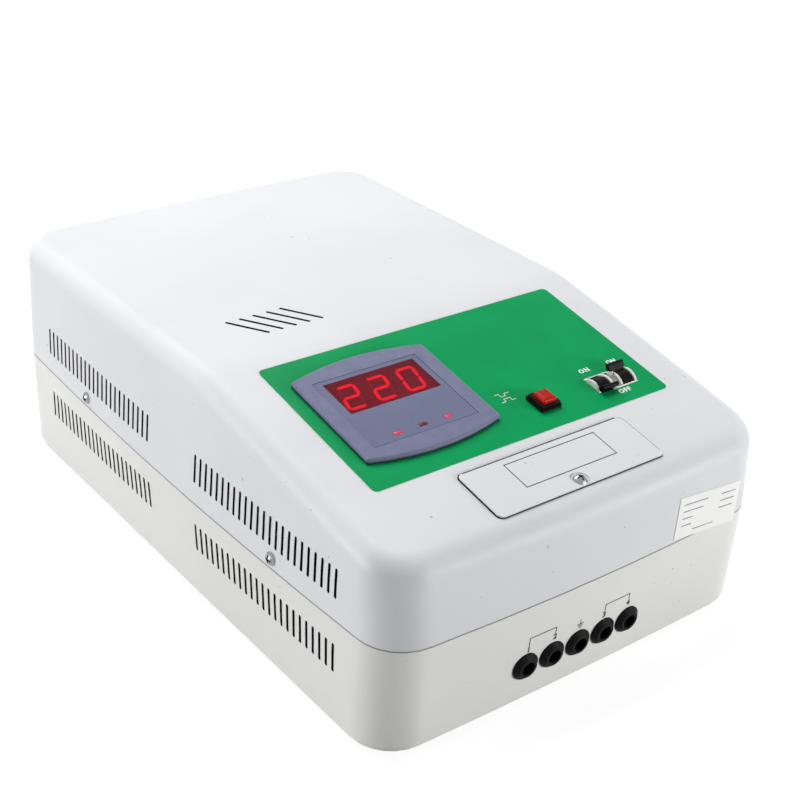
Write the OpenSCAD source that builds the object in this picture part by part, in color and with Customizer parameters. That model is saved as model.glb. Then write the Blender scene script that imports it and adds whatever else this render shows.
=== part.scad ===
// Voltage stabilizer for a wall, lying on its back as it was photographed.
// X runs across the housing, Y from the cable end (low) to the plain end (high), Z up from the wall side.
// All lengths are millimetres and all angles are degrees.

/* [Housing] */
// Width at the base corners
base_w = 272; // [266:1:300]
// Length at the base corners
base_l = 408; // [400:1:440]
// How much wider the seam is than the base
seam_flare_w = -4; // [-8:0.5:4]
// How much longer the seam is than the base
seam_flare_l = 4; // [-2:0.5:8]
// How much wider the top is than the base
crown_flare_w = -3; // [-8:0.5:4]
// How much longer the top is than the base
crown_flare_l = -1; // [-6:0.5:4]
// Outward bow of the long sides at the seam
side_bow = 6; // [1:0.5:9]
// Outward bow of the short ends at the seam
end_bow = 5; // [1:0.5:8]
// Outward bow of the short ends at the base and the top
end_bow_flat = 2; // [0.5:0.5:4]
// Height of the seam between tray and cover
seam_h = 68; // [66:1:76]
// Height of the flat top
top_h = 148; // [146:1:162]
// Radius of the upright corners
corner_r = 27; // [22:1:32]
// Radius of the cover's upper edges
crown_r = 12; // [8:1:15]
// Radius of the tray's lower edges
foot_r = 6.5; // [4:0.5:9]
// Thickness of the sheet steel
wall_t = 1.2; // [0.8:0.1:1.6]
// Height of the tray's lip behind the cover
lip_h = 11; // [9.5:0.5:12.5]

/* [Sloping panel] */
// Distance from the cable end to the fold where the slope starts
fold_from_end = 175; // [172:1:180]
// Angle of the slope
slope_a = 10.4; // [9:0.1:11.5]
// Half length of the fold's bend
fold_bend = 9; // [4:1:14]
// Share of the top's width that the printed film takes
film_w_share = 0.7807; // [0.75:0.0001:0.79]
// Height of the printed film along the slope
film_h = 111.2; // [108:0.2:114]
// Distance of the film's centre below the fold
film_down = 68; // [66:0.5:69]
// Corner radius of the film
film_r = 3; // [1:0.5:6]
// Thickness of the film
film_t = 0.4; // [0.2:0.1:0.6]

/* [Vent slots] */
// Slots in each side group
slot_count = 24; // [12:1:24]
// Pitch of the side slots
slot_pitch = 5.75; // [5:0.05:5.8]
// Width of a slot
slot_w = 2.1; // [1.4:0.1:2.6]
// Length of a side slot
slot_l = 17.9; // [12:0.1:19]
// Place of the rear group as a share of the length
slots_rear_share = 0.2196; // [0.21:0.0002:0.228]
// Place of the front group as a share of the length
slots_front_share = 0.2377; // [0.226:0.0002:0.245]
// Distance from the seam to the middle of the upper row
slots_above = 22.2; // [21.5:0.1:24]
// Distance from the seam to the middle of the lower row
slots_below = 23.2; // [20:0.1:26]
// Slots in the top
top_slot_count = 5; // [3:1:6]
// Pitch of the top slots
top_slot_pitch = 9.25; // [6:0.25:12]
// Length of a top slot
top_slot_l = 28.7; // [18:0.1:32]
// Lean of the top slots
top_slot_a = 31; // [0:1:45]
// Place of the top slots left of the middle, as a share of the top's width
top_slots_share = 0.2346; // [0.19:0.0002:0.27]
// Distance of the top slots behind the fold
top_slots_back = 33.8; // [31:0.1:37]

/* [Terminal hatch] */
// Width of the hatch plate
hatch_w = 117.2; // [100:0.2:124]
// Height of the hatch plate along the slope
hatch_h = 36.6; // [34:0.2:38]
// Distance of the hatch's centre below the fold
hatch_down = 150.6; // [148:0.2:151.6]
// Corner radius of the hatch
hatch_r = 3.5; // [1:0.5:6]
// Thickness of the hatch plate
hatch_t = 1.2; // [0.8:0.1:1.6]

/* [Display] */
// Width of the bezel
bezel_w = 89.4; // [87:0.1:90]
// Height of the bezel at its corners
bezel_h = 72.6; // [71:0.1:74]
// Bow of the bezel's top and bottom edges
bezel_bow = 6.5; // [3:0.5:8]
// Thickness of the bezel in front of the film
bezel_t = 3.2; // [2.8:0.1:4.5]
// Radius of the bezel's corners
bezel_corner_r = 1.8; // [1.8:0.1:5]
// Radius of the bezel's front edge
bezel_edge_r = 1.5; // [0.8:0.1:1.7]
// Distance from the film's left edge to the bezel
bezel_margin = 8.7; // [8:0.1:12]
// Distance of the bezel's centre below the fold
bezel_down = 68.2; // [67:0.1:70]
// Width of the display window
window_w = 61; // [60:0.5:64]
// Height of the display window
window_h = 27.5; // [27:0.1:29]
// Distance of the window's centre above the bezel's centre
window_up = 12.8; // [11.5:0.1:13.5]
// Pitch of the digits
digit_pitch = 20.1; // [19.9:0.05:20.6]
// Pitch of the indicator lights
led_pitch = 17; // [12:0.5:20]
// Distance of the indicator lights below the bezel's centre
led_under = 24.5; // [22:0.1:26]

/* [Button] */
// Place of the button, as a share of the room between the display and the breakers
button_share = 0.634; // [0.52:0.001:0.7]
// Distance of the button below the fold
button_down = 103.6; // [98:0.1:108]
// Side of the button's black flange
button_flange = 15; // [14:0.1:16]
// Side of the red cap
cap_side = 9.7; // [8:0.1:10]
// Height of the cap's top above the film
cap_top = 6.3; // [5:0.1:7]
// Travel of the cap
cap_travel = 2.5; // [1.5:0.1:3]

/* [Breakers] */
// Width of one breaker
pole_w = 17.5; // [17:0.1:18]
// Distance from the film's right edge to the line between the breakers
breaker_margin = 27.6; // [24:0.1:30]
// Distance of the toggle axis below the fold
breaker_down = 103.9; // [101:0.1:106]
// Width of the opening for both toggles
cutout_w = 30.8; // [29.6:0.1:32]
// Height of the opening along the slope
cutout_h = 15; // [14:0.1:16]
// Depth of the toggle axis under the panel's outer face
toggle_sink = 5.2; // [5:0.1:6]
// Radius of the toggle drum
drum_r = 8; // [7.4:0.1:8]
// Width of the toggle drum
drum_w = 8.6; // [7:0.1:9]
// Radius of the handle's tip
handle_tip_r = 13.4; // [12.5:0.1:15]
// Width of the handle
handle_w = 12; // [10:0.1:12.4]
// Swing of a toggle from the upright to either side
toggle_swing = 39; // [30:1:42]

/* [Cable entry] */
// Number of cable grommets
grommet_count = 5; // [3:1:5]
// Pitch of the grommets
grommet_pitch = 18.6; // [17.6:0.1:20]
// X of the middle grommet
grommet_x = -6.1; // [-12:0.1:0]
// Height of the grommets
grommet_h = 27.4; // [25.5:0.1:32]
// Diameter of a grommet's flange
grommet_d = 16.6; // [15.6:0.1:17.4]
// Diameter of a grommet's bore
grommet_bore = 8.4; // [6:0.1:9]
// How far a grommet stands out of the wall
grommet_out = 3; // [2:0.1:5]

/* [Transformer] */
// Diameter of the ring transformer as a share of the housing's length
ring_d_share = 0.4216; // [0.37:0.0004:0.43]
// Diameter of its open middle
ring_bore = 48; // [40:1:60]
// Height of the ring
ring_h = 72; // [60:1:84]
// Gap between the ring and the plain end
ring_end_gap = 30; // [26:1:34]

/* [Control board] */
// Width of the control board as a share of the housing's width
board_w_share = 0.581; // [0.55:0.001:0.6]
// Length of the control board as a share of the housing's length
board_l_share = 0.25; // [0.24:0.001:0.26]
// Gap between the board and the side wall
board_side_gap = 13; // [11:1:15]
// Gap between the board and the cable end
board_end_gap = 69; // [67:1:71]
// Number of relays
relay_count = 5; // [3:1:5]

/* [Hidden] */

// Shared fits and cuts
eps = 0.01;
cut_over = 2;
fit_gap = 0.3;
seam_gap = 0.4;
pin_gap = 0.08;
curve_steps = 6;
curve_fn = 48;

// Colours
steel_light = [0.90, 0.91, 0.92];
steel_warm = [0.87, 0.87, 0.85];
zinc = [0.74, 0.75, 0.77];
black_plastic = [0.07, 0.07, 0.08];
white_plastic = [0.93, 0.93, 0.91];
board_green = [0.05, 0.36, 0.20];
brass = [0.80, 0.66, 0.32];

// Housing form
seam_w = base_w + seam_flare_w;
seam_l = base_l + seam_flare_l;
crown_w = base_w + crown_flare_w;
crown_l = base_l + crown_flare_l;
fold_y = fold_from_end - base_l / 2;
rise = top_h - seam_h;
half_seam_w = seam_w / 2;
half_seam_l = seam_l / 2;
frame_y = grommet_out / 2;
lip_inset = wall_t + fit_gap;

function mix(a, b, t) = a + (b - a) * t;
function bow(size, share) = size * (1 - share * share);
function low_share(z) = max(0, min(1, z / seam_h));
function high_share(z) = max(0, min(1, (z - seam_h) / rise));

// Half width at a place along the side and a height
function side_x(y, z) = z < seam_h
  ? mix(base_w, seam_w, low_share(z)) / 2 + bow(side_bow * low_share(z), y / half_seam_l)
  : mix(seam_w, crown_w, high_share(z)) / 2 + bow(side_bow * (1 - high_share(z)), y / half_seam_l);

// Half length at a place across the end and a height
function end_y(x, z) = z < seam_h
  ? mix(base_l, seam_l, low_share(z)) / 2
    + bow(mix(end_bow_flat, end_bow, low_share(z)), x / half_seam_w)
  : mix(seam_l, crown_l, high_share(z)) / 2
    + bow(mix(end_bow, end_bow_flat, high_share(z)), x / half_seam_w);

// Height of the top: flat, then a bend, then the slope
slope_t = tan(slope_a);
bend_start = fold_y + fold_bend;
bend_end = fold_y - fold_bend;
function crown_z(y) = y >= bend_start ? top_h
  : y >= bend_end ? top_h - slope_t * pow(bend_start - y, 2) / (4 * fold_bend)
  : top_h - slope_t * (fold_y - y);

// Stations along one half of the outline, from the middle of the far end to the middle of the cable end
end_shares = [0.2, 0.6];
rear_shares = [0.25, 0.5, 0.75];
bend_shares = [0, 0.25, 0.5, 0.75, 1];
front_shares = [1 / 3, 2 / 3];
stations = concat(
  [for (s = end_shares) ["far", s]],
  [for (i = [0 : curve_steps]) ["far_corner", 90 * (1 - i / curve_steps)]],
  [for (s = rear_shares) ["rear", s]],
  [for (s = bend_shares) ["bend", s]],
  [for (s = front_shares) ["front", s]],
  [for (i = [0 : curve_steps]) ["near_corner", 90 * i / curve_steps]],
  [for (i = [len(end_shares) - 1 : -1 : 0]) ["near", end_shares[i]]]
);

function corner_x(z) = side_x(half_seam_l - corner_r, z) - corner_r;
function corner_y(z) = end_y(corner_x(z), z) - corner_r;
function side_y(kind, share, z) = kind == "rear" ? mix(corner_y(z), bend_start, share)
  : kind == "bend" ? mix(bend_start, bend_end, share)
  : mix(bend_end, -corner_y(z), share);

// Plan point of a station at a height, moved inwards by an inset
function plan(station, z, inset) =
  let (kind = station[0], v = station[1], cx = corner_x(z), cy = corner_y(z), r = corner_r - inset)
  kind == "far" ? [cx * v, end_y(cx * v, z) - inset]
  : kind == "near" ? [cx * v, inset - end_y(cx * v, z)]
  : kind == "far_corner" ? [cx + r * cos(v), cy + r * sin(v)]
  : kind == "near_corner" ? [cx + r * cos(v), -cy - r * sin(v)]
  : let (y = side_y(kind, v, z)) [side_x(y, z) - inset, y];

function mirrored(half) = [for (i = [len(half) - 1 : -1 : 0]) [-half[i][0], half[i][1], half[i][2]]];
function closed(half) = concat(half, mirrored(half));

// A level ring of the tray
function tray_ring(z, inset) = closed([for (s = stations) let (p = plan(s, z, inset)) [p[0], p[1], z]]);

// A ring of the cover's wall, at a share of the way from the seam to the rounded edge
function cover_ring(share, inset, z_low) = closed([for (s = stations)
  let (flat = plan(s, z_low, inset), z = mix(z_low, crown_z(flat[1]) - crown_r, share), p = plan(s, z, inset))
  [p[0], p[1], z]]);

// A ring of the cover's rounded edge, at an angle up from the wall
function crown_ring(angle, thick) = closed([for (s = stations)
  let (r = crown_r - thick, inset = thick + r * (1 - cos(angle)),
       z = crown_z(plan(s, top_h, inset)[1]), p = plan(s, z - crown_r, inset))
  [p[0], p[1], crown_z(p[1]) - crown_r + r * sin(angle)]]);

// A closed skin through rings of equal count; the ends are closed by strips across the mirror plane
module skin(rings) {
  n = len(rings[0]);
  m = len(rings);
  walls = [for (j = [0 : m - 2]) for (i = [0 : n - 1])
    let (k = (i + 1) % n, a = j * n, b = (j + 1) * n)
    each [[a + i, b + i, a + k], [a + k, b + i, b + k]]];
  first = [for (i = [0 : n / 2 - 2]) [i, i + 1, n - 2 - i, n - 1 - i]];
  last = [for (i = [0 : n / 2 - 2])
    let (c = (m - 1) * n) [c + n - 1 - i, c + n - 2 - i, c + i + 1, c + i]];
  polyhedron(points = [for (r = rings) each r], faces = concat(walls, first, last));
}

module in_frame() translate([0, frame_y, 0]) children();

// Places children on the slope: local Z stands square to the panel, local Y runs up the slope
module on_panel(x, down) translate([0, fold_y, top_h]) rotate([slope_a, 0, 0])
  translate([x, -down, 0]) children();

// Flat shapes
module round_rect(w, h, r) {
  square([w - 2 * r, h], center = true);
  square([w, h - 2 * r], center = true);
  for (x = [-1, 1], y = [-1, 1])
    translate([x * (w / 2 - r), y * (h / 2 - r)]) circle(r = r, $fn = curve_fn);
}

module slot_shape(l, w) {
  square([w, l - w], center = true);
  for (y = [-1, 1]) translate([0, y * (l - w) / 2]) circle(d = w, $fn = curve_fn);
}

module plate(w, h, t, r) linear_extrude(t) round_rect(w, h, r);

module block(size) translate([-size[0] / 2, -size[1] / 2, 0]) cube(size);

// Vent slots through both long sides at once
module side_slots(z) {
  reach = max(base_w, seam_w, crown_w) + 2 * side_bow + 2 * cut_over;
  for (centre = [slots_rear_share, -slots_front_share] * base_l, i = [0 : slot_count - 1])
    translate([-reach / 2, centre + (i - (slot_count - 1) / 2) * slot_pitch, z])
      rotate([90, 0, 90]) linear_extrude(reach) slot_shape(slot_l, slot_w);
}

// Cover screws
screw_shares = [0.2495, -0.2647];
screw_above = 6.3;
screw_z = seam_h + screw_above;
screw_d = 4;
screw_head_d = 8;
screw_head_h = 2.3;
screw_l = 9;
screw_hole_d = screw_d + 2 * fit_gap;

function side_lean(y, z) = atan((side_x(y, z + lip_h) - side_x(y, z)) / lip_h);
function side_turn(y, z) = atan((side_x(y - screw_d, z) - side_x(y + screw_d, z)) / (2 * screw_d));
module at_cover_screws() for (side = [-1, 1], y = screw_shares * base_l)
  translate([side * side_x(y, screw_z), y, screw_z])
    rotate([0, 0, side * side_turn(y, screw_z)])
      rotate([0, side * (90 + side_lean(y, screw_z)), 0]) children();

// Pan head with a cross recess; the head's seat is at local zero and the head stands up
cross_l_share = 0.6;
cross_w_share = 0.16;
module pan_screw(d, l, head_d, head_h) {
  cross_l = head_d * cross_l_share;
  cross_w = head_d * cross_w_share;
  dome_r = (pow(head_d / 2, 2) + head_h * head_h) / (2 * head_h);
  difference() {
    union() {
      translate([0, 0, -l]) cylinder(d = d, h = l + eps, $fn = curve_fn);
      intersection() {
        cylinder(d = head_d, h = head_h, $fn = curve_fn);
        translate([0, 0, head_h - dome_r]) sphere(r = dome_r, $fn = curve_fn);
      }
    }
    for (a = [0, 90]) rotate(a)
      translate([-cross_l / 2, -cross_w / 2, head_h / 2]) cube([cross_l, cross_w, head_h]);
  }
}

// Wall hanging holes in the tray floor
keyhole_end = 54;
keyhole_y = base_l / 2 - keyhole_end;
keyhole_x = 82;
keyhole_d = 9;
keyhole_neck = 4.6;
keyhole_l = 9;

module keyholes() for (x = [-keyhole_x, keyhole_x]) translate([x, keyhole_y, -cut_over]) {
  cylinder(d = keyhole_d, h = wall_t + 2 * cut_over, $fn = curve_fn);
  linear_extrude(wall_t + 2 * cut_over) translate([0, keyhole_l / 2]) slot_shape(keyhole_l, keyhole_neck);
}

// Cable grommets lean and turn with the cable end's wall
grommet_brim = 1.6;
grommet_hole_d = grommet_d - 2 * grommet_brim;
grommet_tail = 3;
grommet_waist = wall_t + fit_gap;
grommet_rim = 0.8;

function wall_lean(x) = atan((end_y(x, seam_h) - end_y(x, 0)) / seam_h);
function wall_turn(x, z) = atan((end_y(x - grommet_d, z) - end_y(x + grommet_d, z)) / (2 * grommet_d));
module at_grommets() for (i = [0 : grommet_count - 1])
  let (x = grommet_x + (i - (grommet_count - 1) / 2) * grommet_pitch)
  translate([x, -end_y(x, grommet_h), grommet_h])
    rotate([0, 0, wall_turn(x, grommet_h)]) rotate([90 + wall_lean(x), 0, 0]) children();

module base_tray() color(steel_warm) in_frame() difference() {
  steps = [0 : curve_steps];
  r_in = foot_r - wall_t;
  skin(concat(
    [for (i = steps) let (a = 90 * (1 - i / curve_steps))
      tray_ring(foot_r - r_in * sin(a), wall_t + r_in * (1 - cos(a)))],
    [tray_ring(seam_h / 2, wall_t), tray_ring(seam_h - 2 * wall_t, wall_t),
     tray_ring(seam_h - wall_t, lip_inset + wall_t), tray_ring(seam_h + lip_h, lip_inset + wall_t),
     tray_ring(seam_h + lip_h, lip_inset), tray_ring(seam_h, lip_inset)],
    [for (z = [seam_h, seam_h / 2]) tray_ring(z, 0)],
    [for (i = steps) let (a = 90 * i / curve_steps)
      tray_ring(foot_r * (1 - sin(a)), foot_r * (1 - cos(a)))]
  ));
  side_slots(seam_h - slots_below);
  keyholes();
  at_grommets() translate([0, 0, -wall_t - cut_over])
    cylinder(d = grommet_hole_d, h = wall_t + 2 * cut_over, $fn = curve_fn);
  at_cover_screws() translate([0, 0, -lip_inset - wall_t - cut_over])
    cylinder(d = screw_hole_d, h = lip_inset + wall_t + 2 * cut_over, $fn = curve_fn);
}

// Openings through the slope, shared by the cover and the film
skin_t = wall_t;
bezel_lap_x = 3;
bezel_lap_y = 3.5;
skirt_w = bezel_w - 2 * bezel_lap_x;
skirt_h = bezel_h - 2 * bezel_lap_y;
switch_lap = 1.5;
switch_side = button_flange - 2 * switch_lap;

// Bracket under the slope for the breakers' rail
bracket_t = 1.5;
bracket_l = 40;
bracket_foot = 12;
bracket_play = 2;
bracket_half = pole_w + bracket_play;

// Places across the slope
film_w = film_w_share * crown_w;
film_x = 0.9;
bezel_x = film_x + bezel_margin + bezel_w / 2 - film_w / 2;
breaker_x = film_x + film_w / 2 - breaker_margin;
button_x = mix(bezel_x + skirt_w / 2, breaker_x - bracket_half - bracket_foot, button_share);

module on_openings() {
  on_panel(bezel_x, bezel_down) children(0);
  on_panel(button_x, button_down) children(1);
  on_panel(breaker_x, breaker_down) children(2);
}

module through(w, h, depth) translate([0, 0, -depth - cut_over])
  block([w, h, depth + 2 * cut_over]);

module slope_openings(depth) on_openings() {
  through(skirt_w + 2 * fit_gap, skirt_h + 2 * fit_gap, depth);
  through(switch_side + 2 * fit_gap, switch_side + 2 * fit_gap, depth);
  through(cutout_w, cutout_h, depth);
}

module top_slots() translate([-top_slots_share * crown_w, fold_y + top_slots_back, top_h - wall_t - cut_over])
  for (i = [0 : top_slot_count - 1]) translate([(i - (top_slot_count - 1) / 2) * top_slot_pitch, 0, 0])
    linear_extrude(wall_t + 2 * cut_over) rotate(top_slot_a) slot_shape(top_slot_l, slot_w);

// Hatch over the terminals
hatch_lap = 5;
hatch_lap_low = 11;
hatch_hole_w = hatch_w - 2 * hatch_lap;
hatch_hole_h = hatch_h - hatch_lap - hatch_lap_low;
hatch_hole_up = (hatch_lap_low - hatch_lap) / 2;
hatch_screw_up = 5;
hatch_screw_down = hatch_down + hatch_h / 2 - hatch_screw_up;
hatch_sink = hatch_t / 2;
hatch_sink_rim = 1.5;
hatch_sink_d = screw_head_d + 2 * hatch_sink_rim;
tongue_w = 14;
tongue_l = 9;
tongue_share = 0.32;

module top_cover() color(steel_light) in_frame() difference() {
  steps = [0 : curve_steps];
  rim = seam_h + seam_gap;
  skin(concat(
    [for (i = steps) crown_ring(90 * (1 - i / curve_steps), 0)],
    [cover_ring(0.5, 0, rim), cover_ring(0, 0, rim)],
    [cover_ring(0, wall_t, rim), cover_ring(0.5, wall_t, rim)],
    [for (i = steps) crown_ring(90 * i / curve_steps, wall_t)]
  ));
  side_slots(seam_h + slots_above);
  top_slots();
  slope_openings(skin_t);
  on_panel(0, hatch_down - hatch_hole_up) through(hatch_hole_w, hatch_hole_h, skin_t);
  on_panel(0, hatch_screw_down) translate([0, 0, -skin_t - cut_over])
    cylinder(d = screw_hole_d, h = skin_t + 2 * cut_over, $fn = curve_fn);
  at_cover_screws() translate([0, 0, -wall_t - cut_over])
    cylinder(d = screw_hole_d, h = wall_t + 2 * cut_over, $fn = curve_fn);
}

// Fasteners
nut_bore_d = screw_d + 2 * pin_gap;
nut_d = 8;
nut_h = 3;
seat_gap = 0.15;
nut_gap = 0.3;

module round_nut() difference() {
  cylinder(d = nut_d, h = nut_h, $fn = curve_fn);
  translate([0, 0, -cut_over]) cylinder(d = nut_bore_d, h = nut_h + 2 * cut_over, $fn = curve_fn);
}

module lip_nuts() color(zinc) in_frame() at_cover_screws()
  translate([0, 0, -lip_inset - wall_t - nut_gap - nut_h]) round_nut();

module cover_screws() color(zinc) in_frame() at_cover_screws() translate([0, 0, seat_gap])
  pan_screw(screw_d, screw_l, screw_head_d, screw_head_h);

module terminal_hatch() color(steel_light) in_frame() {
  on_panel(0, hatch_down) difference() {
    plate(hatch_w, hatch_h, hatch_t, hatch_r);
    translate([0, hatch_screw_up - hatch_h / 2, 0]) {
      translate([0, 0, -cut_over]) cylinder(d = screw_hole_d, h = hatch_t + 2 * cut_over, $fn = curve_fn);
      translate([0, 0, hatch_t - hatch_sink]) cylinder(d = hatch_sink_d, h = hatch_t, $fn = curve_fn);
    }
  }
  tongue_drop = skin_t + fit_gap + hatch_t;
  for (x = [-1, 1]) on_panel(x * tongue_share * hatch_w, hatch_down - hatch_h / 2 + hatch_lap) {
    translate([0, -hatch_t - fit_gap, -tongue_drop]) block([tongue_w, hatch_t, tongue_drop + eps]);
    translate([0, tongue_l / 2 - hatch_t - fit_gap, -tongue_drop]) block([tongue_w, tongue_l, hatch_t]);
  }
}

module hatch_screw() color(zinc) in_frame() on_panel(0, hatch_screw_down)
  translate([0, 0, hatch_t - hatch_sink]) pan_screw(screw_d, screw_l - wall_t, screw_head_d, screw_head_h);

module hatch_nut() color(zinc) in_frame() on_panel(0, hatch_screw_down)
  translate([0, 0, -skin_t - nut_h]) round_nut();

module front_film() color([0.02, 0.62, 0.36]) in_frame() difference() {
  on_panel(film_x, film_down) plate(film_w, film_h, film_t, film_r);
  slope_openings(film_t);
}

// Display; local zero is the cover's outer face
face_t = 2;
skirt_t = 2;
face_top = film_t + bezel_t;
face_in = face_top - face_t;
recess = 0.4;
recess_w = 68.6;
recess_h = 59.3;
window_lap = 2;
window_lap_t = 1;
digit_t = 8;
digit_gap = 0.2;
digit_play = 0.5;
digit_w = digit_pitch - digit_gap;
digit_h = window_h - digit_play;
display_board_t = 1.6;
display_board_z = face_in - window_lap_t - fit_gap - digit_t;
skirt_past = 2;
skirt_low = display_board_z - display_board_t - skirt_past;
post_d = 5;
post_gap = 0.5;
post_x = skirt_w / 2 - skirt_t - post_d / 2 - post_gap;
post_y = skirt_h / 2 - skirt_t - post_d / 2 - post_gap;
small_screw_d = 2.2;
small_head_d = 4.4;
small_head_h = 1.6;
small_screw_l = 7;
led_w = 5;
led_h = 2.5;
led_rim = 0.5;
catch_w = 10;
catch_l = 3;
catch_out = 1.2;

// One half of a barrel-shaped ring: straight sides, bowed top and bottom, round corners
barrel_shares = [0.15, 0.45, 0.75];
function barrel_lean(x) = atan(8 * bezel_bow * x / (bezel_w * bezel_w));
function barrel_top(x) = bezel_h / 2 + bow(bezel_bow, 2 * x / bezel_w);
barrel_corner_x = bezel_w / 2 - bezel_corner_r;
barrel_turn = barrel_lean(barrel_corner_x);
barrel_join = barrel_corner_x + bezel_corner_r * sin(barrel_turn);
barrel_corner_y = barrel_top(barrel_join) - bezel_corner_r * cos(barrel_turn);
function barrel_quarter(inset) = concat(
  [for (s = barrel_shares) let (x = s * barrel_join, a = barrel_lean(x))
    [x - inset * sin(a), barrel_top(x) - inset * cos(a)]],
  let (r = bezel_corner_r - inset) [for (i = [0 : curve_steps])
    let (a = (90 - barrel_turn) * (1 - i / curve_steps))
    [barrel_corner_x + r * cos(a), barrel_corner_y + r * sin(a)]]
);
function barrel_ring(z, inset) = let (q = barrel_quarter(inset), n = len(q) - 1)
  closed(concat([for (p = q) [p[0], p[1], z]], [for (i = [n : -1 : 0]) [q[i][0], -q[i][1], z]]));

module at_posts() for (x = [-post_x, post_x], y = [-post_y, post_y]) translate([x, y, 0]) children();
module at_leds() for (i = [-1 : 1]) translate([i * led_pitch, -led_under, 0]) children();
module at_window() translate([0, window_up, 0]) children();
module at_figures() for (i = [-1 : 1]) translate([i * digit_pitch, window_up, 0]) children();

module display_bezel() color([0.52, 0.54, 0.66]) in_frame() on_panel(bezel_x, bezel_down) {
  difference() {
    union() {
      skin(concat(
        [for (i = [0 : curve_steps]) let (a = 90 * (1 - i / curve_steps))
          barrel_ring(face_top - bezel_edge_r * (1 - sin(a)), bezel_edge_r * (1 - cos(a)))],
        [barrel_ring(film_t, 0)]
      ));
      translate([0, 0, skirt_low]) block([skirt_w, skirt_h, film_t - skirt_low + eps]);
      for (x = [-1, 1], y = [-1, 1])
        translate([x * skirt_w / 4, y * skirt_h / 2, -skin_t - fit_gap - catch_l])
          block([catch_w, 2 * catch_out, catch_l]);
    }
    translate([0, 0, skirt_low - cut_over])
      block([skirt_w - 2 * skirt_t, skirt_h - 2 * skirt_t, face_in - skirt_low + cut_over]);
    translate([0, 0, face_top - recess]) block([recess_w, recess_h, cut_over]);
    at_window() through(window_w, window_h, face_t);
    at_window() translate([0, 0, face_in - cut_over]) block([window_w, window_h, face_t + 2 * cut_over]);
    at_leds() translate([0, 0, face_in - cut_over])
      block([led_w + fit_gap, led_h + fit_gap, face_t + 2 * cut_over]);
  }
  at_posts() difference() {
    translate([0, 0, display_board_z])
      cylinder(d = post_d, h = face_in - display_board_z + eps, $fn = curve_fn);
    translate([0, 0, display_board_z - cut_over])
      cylinder(d = small_screw_d + 2 * pin_gap, h = small_screw_l + cut_over, $fn = curve_fn);
  }
}

module bezel_film() color([0.50, 0.52, 0.65]) in_frame() on_panel(bezel_x, bezel_down) difference() {
  translate([0, 0, face_top - recess])
    plate(recess_w - fit_gap, recess_h - fit_gap, recess - fit_gap / 3, film_r / 3);
  at_window() translate([0, 0, face_in]) block([window_w, window_h, face_t + cut_over]);
  at_leds() translate([0, 0, face_in]) block([led_w + fit_gap, led_h + fit_gap, face_t + cut_over]);
}

module display_window() color([0.45, 0.05, 0.08]) in_frame() on_panel(bezel_x, bezel_down) at_window() {
  translate([0, 0, face_in]) block([window_w - fit_gap, window_h - fit_gap, face_t - fit_gap / 3]);
  translate([0, 0, face_in - window_lap_t])
    block([window_w + 2 * window_lap, window_h + 2 * window_lap - fit_gap, window_lap_t]);
}

// Seven slanted bars of one digit, cut a little into its face
bar_w = 1.9;
bar_cut = 0.4;
figure_w = 10;
figure_h = 18.5;
figure_up = 0.9;
figure_slant = tan(10);
module figure_bars() {
  for (y = [-1, 0, 1] * figure_h / 2)
    translate([figure_slant * y, y]) square([figure_w - bar_w, bar_w], center = true);
  for (x = [-1, 1] * figure_w / 2, y = [-1, 1] * figure_h / 4) {
    half = figure_h / 4 - bar_w;
    polygon([for (p = [[-1, -1], [1, -1], [1, 1], [-1, 1]])
      [x + p[0] * bar_w / 2 + figure_slant * (y + p[1] * half), y + p[1] * half]]);
  }
}

module digit_modules() color([0.16, 0.15, 0.16]) in_frame() on_panel(bezel_x, bezel_down) at_figures()
  translate([0, 0, display_board_z]) difference() {
    block([digit_w, digit_h, digit_t]);
    translate([0, figure_up, digit_t - bar_cut]) linear_extrude(digit_t) figure_bars();
  }

module indicator_leds() color([0.75, 0.04, 0.12]) in_frame() on_panel(bezel_x, bezel_down) at_leds()
  translate([0, 0, display_board_z]) {
    block([led_w, led_h, face_top - display_board_z]);
    block([led_w + 2 * led_rim, led_h + 2 * led_rim, digit_t / 2]);
  }

module display_board() color(board_green) in_frame() on_panel(bezel_x, bezel_down) difference() {
  translate([0, 0, display_board_z - display_board_t])
    block([skirt_w - 2 * skirt_t - 2 * fit_gap, skirt_h - 2 * skirt_t - 2 * fit_gap, display_board_t]);
  at_posts() translate([0, 0, display_board_z - display_board_t - cut_over])
    cylinder(d = small_screw_d + fit_gap, h = display_board_t + 2 * cut_over, $fn = curve_fn);
}

module display_screws() color(zinc) in_frame() on_panel(bezel_x, bezel_down) at_posts()
  translate([0, 0, display_board_z - display_board_t]) rotate([180, 0, 0])
    pan_screw(small_screw_d, small_screw_l, small_head_d, small_head_h);

// Button; local zero is the cover's outer face
switch_lift = 0.6;
switch_flange_t = 1.4;
switch_collar_h = 3.4;
switch_neck = 1.4;
switch_r = 1;
switch_low = 17;
cap_low = 4;
press_room = 1.5;
cavity_low = cap_low + cap_travel + press_room;
cap_slope_w = 1.4;
cap_slope_h = 1;
cap_gap = 0.25;
contact_w = 2.4;
contact_t = 0.6;
contact_l = 7;
contact_pitch = 4;

module button_housing() color(black_plastic) in_frame() on_panel(button_x, button_down) difference() {
  union() {
    translate([0, 0, film_t + switch_lift]) plate(button_flange, button_flange, switch_flange_t, switch_r);
    translate([0, 0, film_t])
      plate(button_flange - switch_neck, button_flange - switch_neck, switch_collar_h, switch_r);
    translate([0, 0, -switch_low]) block([switch_side, switch_side, switch_low + film_t + eps]);
    for (x = [-1, 1]) translate([x * switch_side / 2, 0, -skin_t - fit_gap - catch_l])
      block([2 * catch_out, catch_w / 2, catch_l]);
  }
  translate([0, 0, -cavity_low])
    block([cap_side + 2 * cap_gap, cap_side + 2 * cap_gap, cavity_low + switch_collar_h + cut_over]);
}

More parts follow.
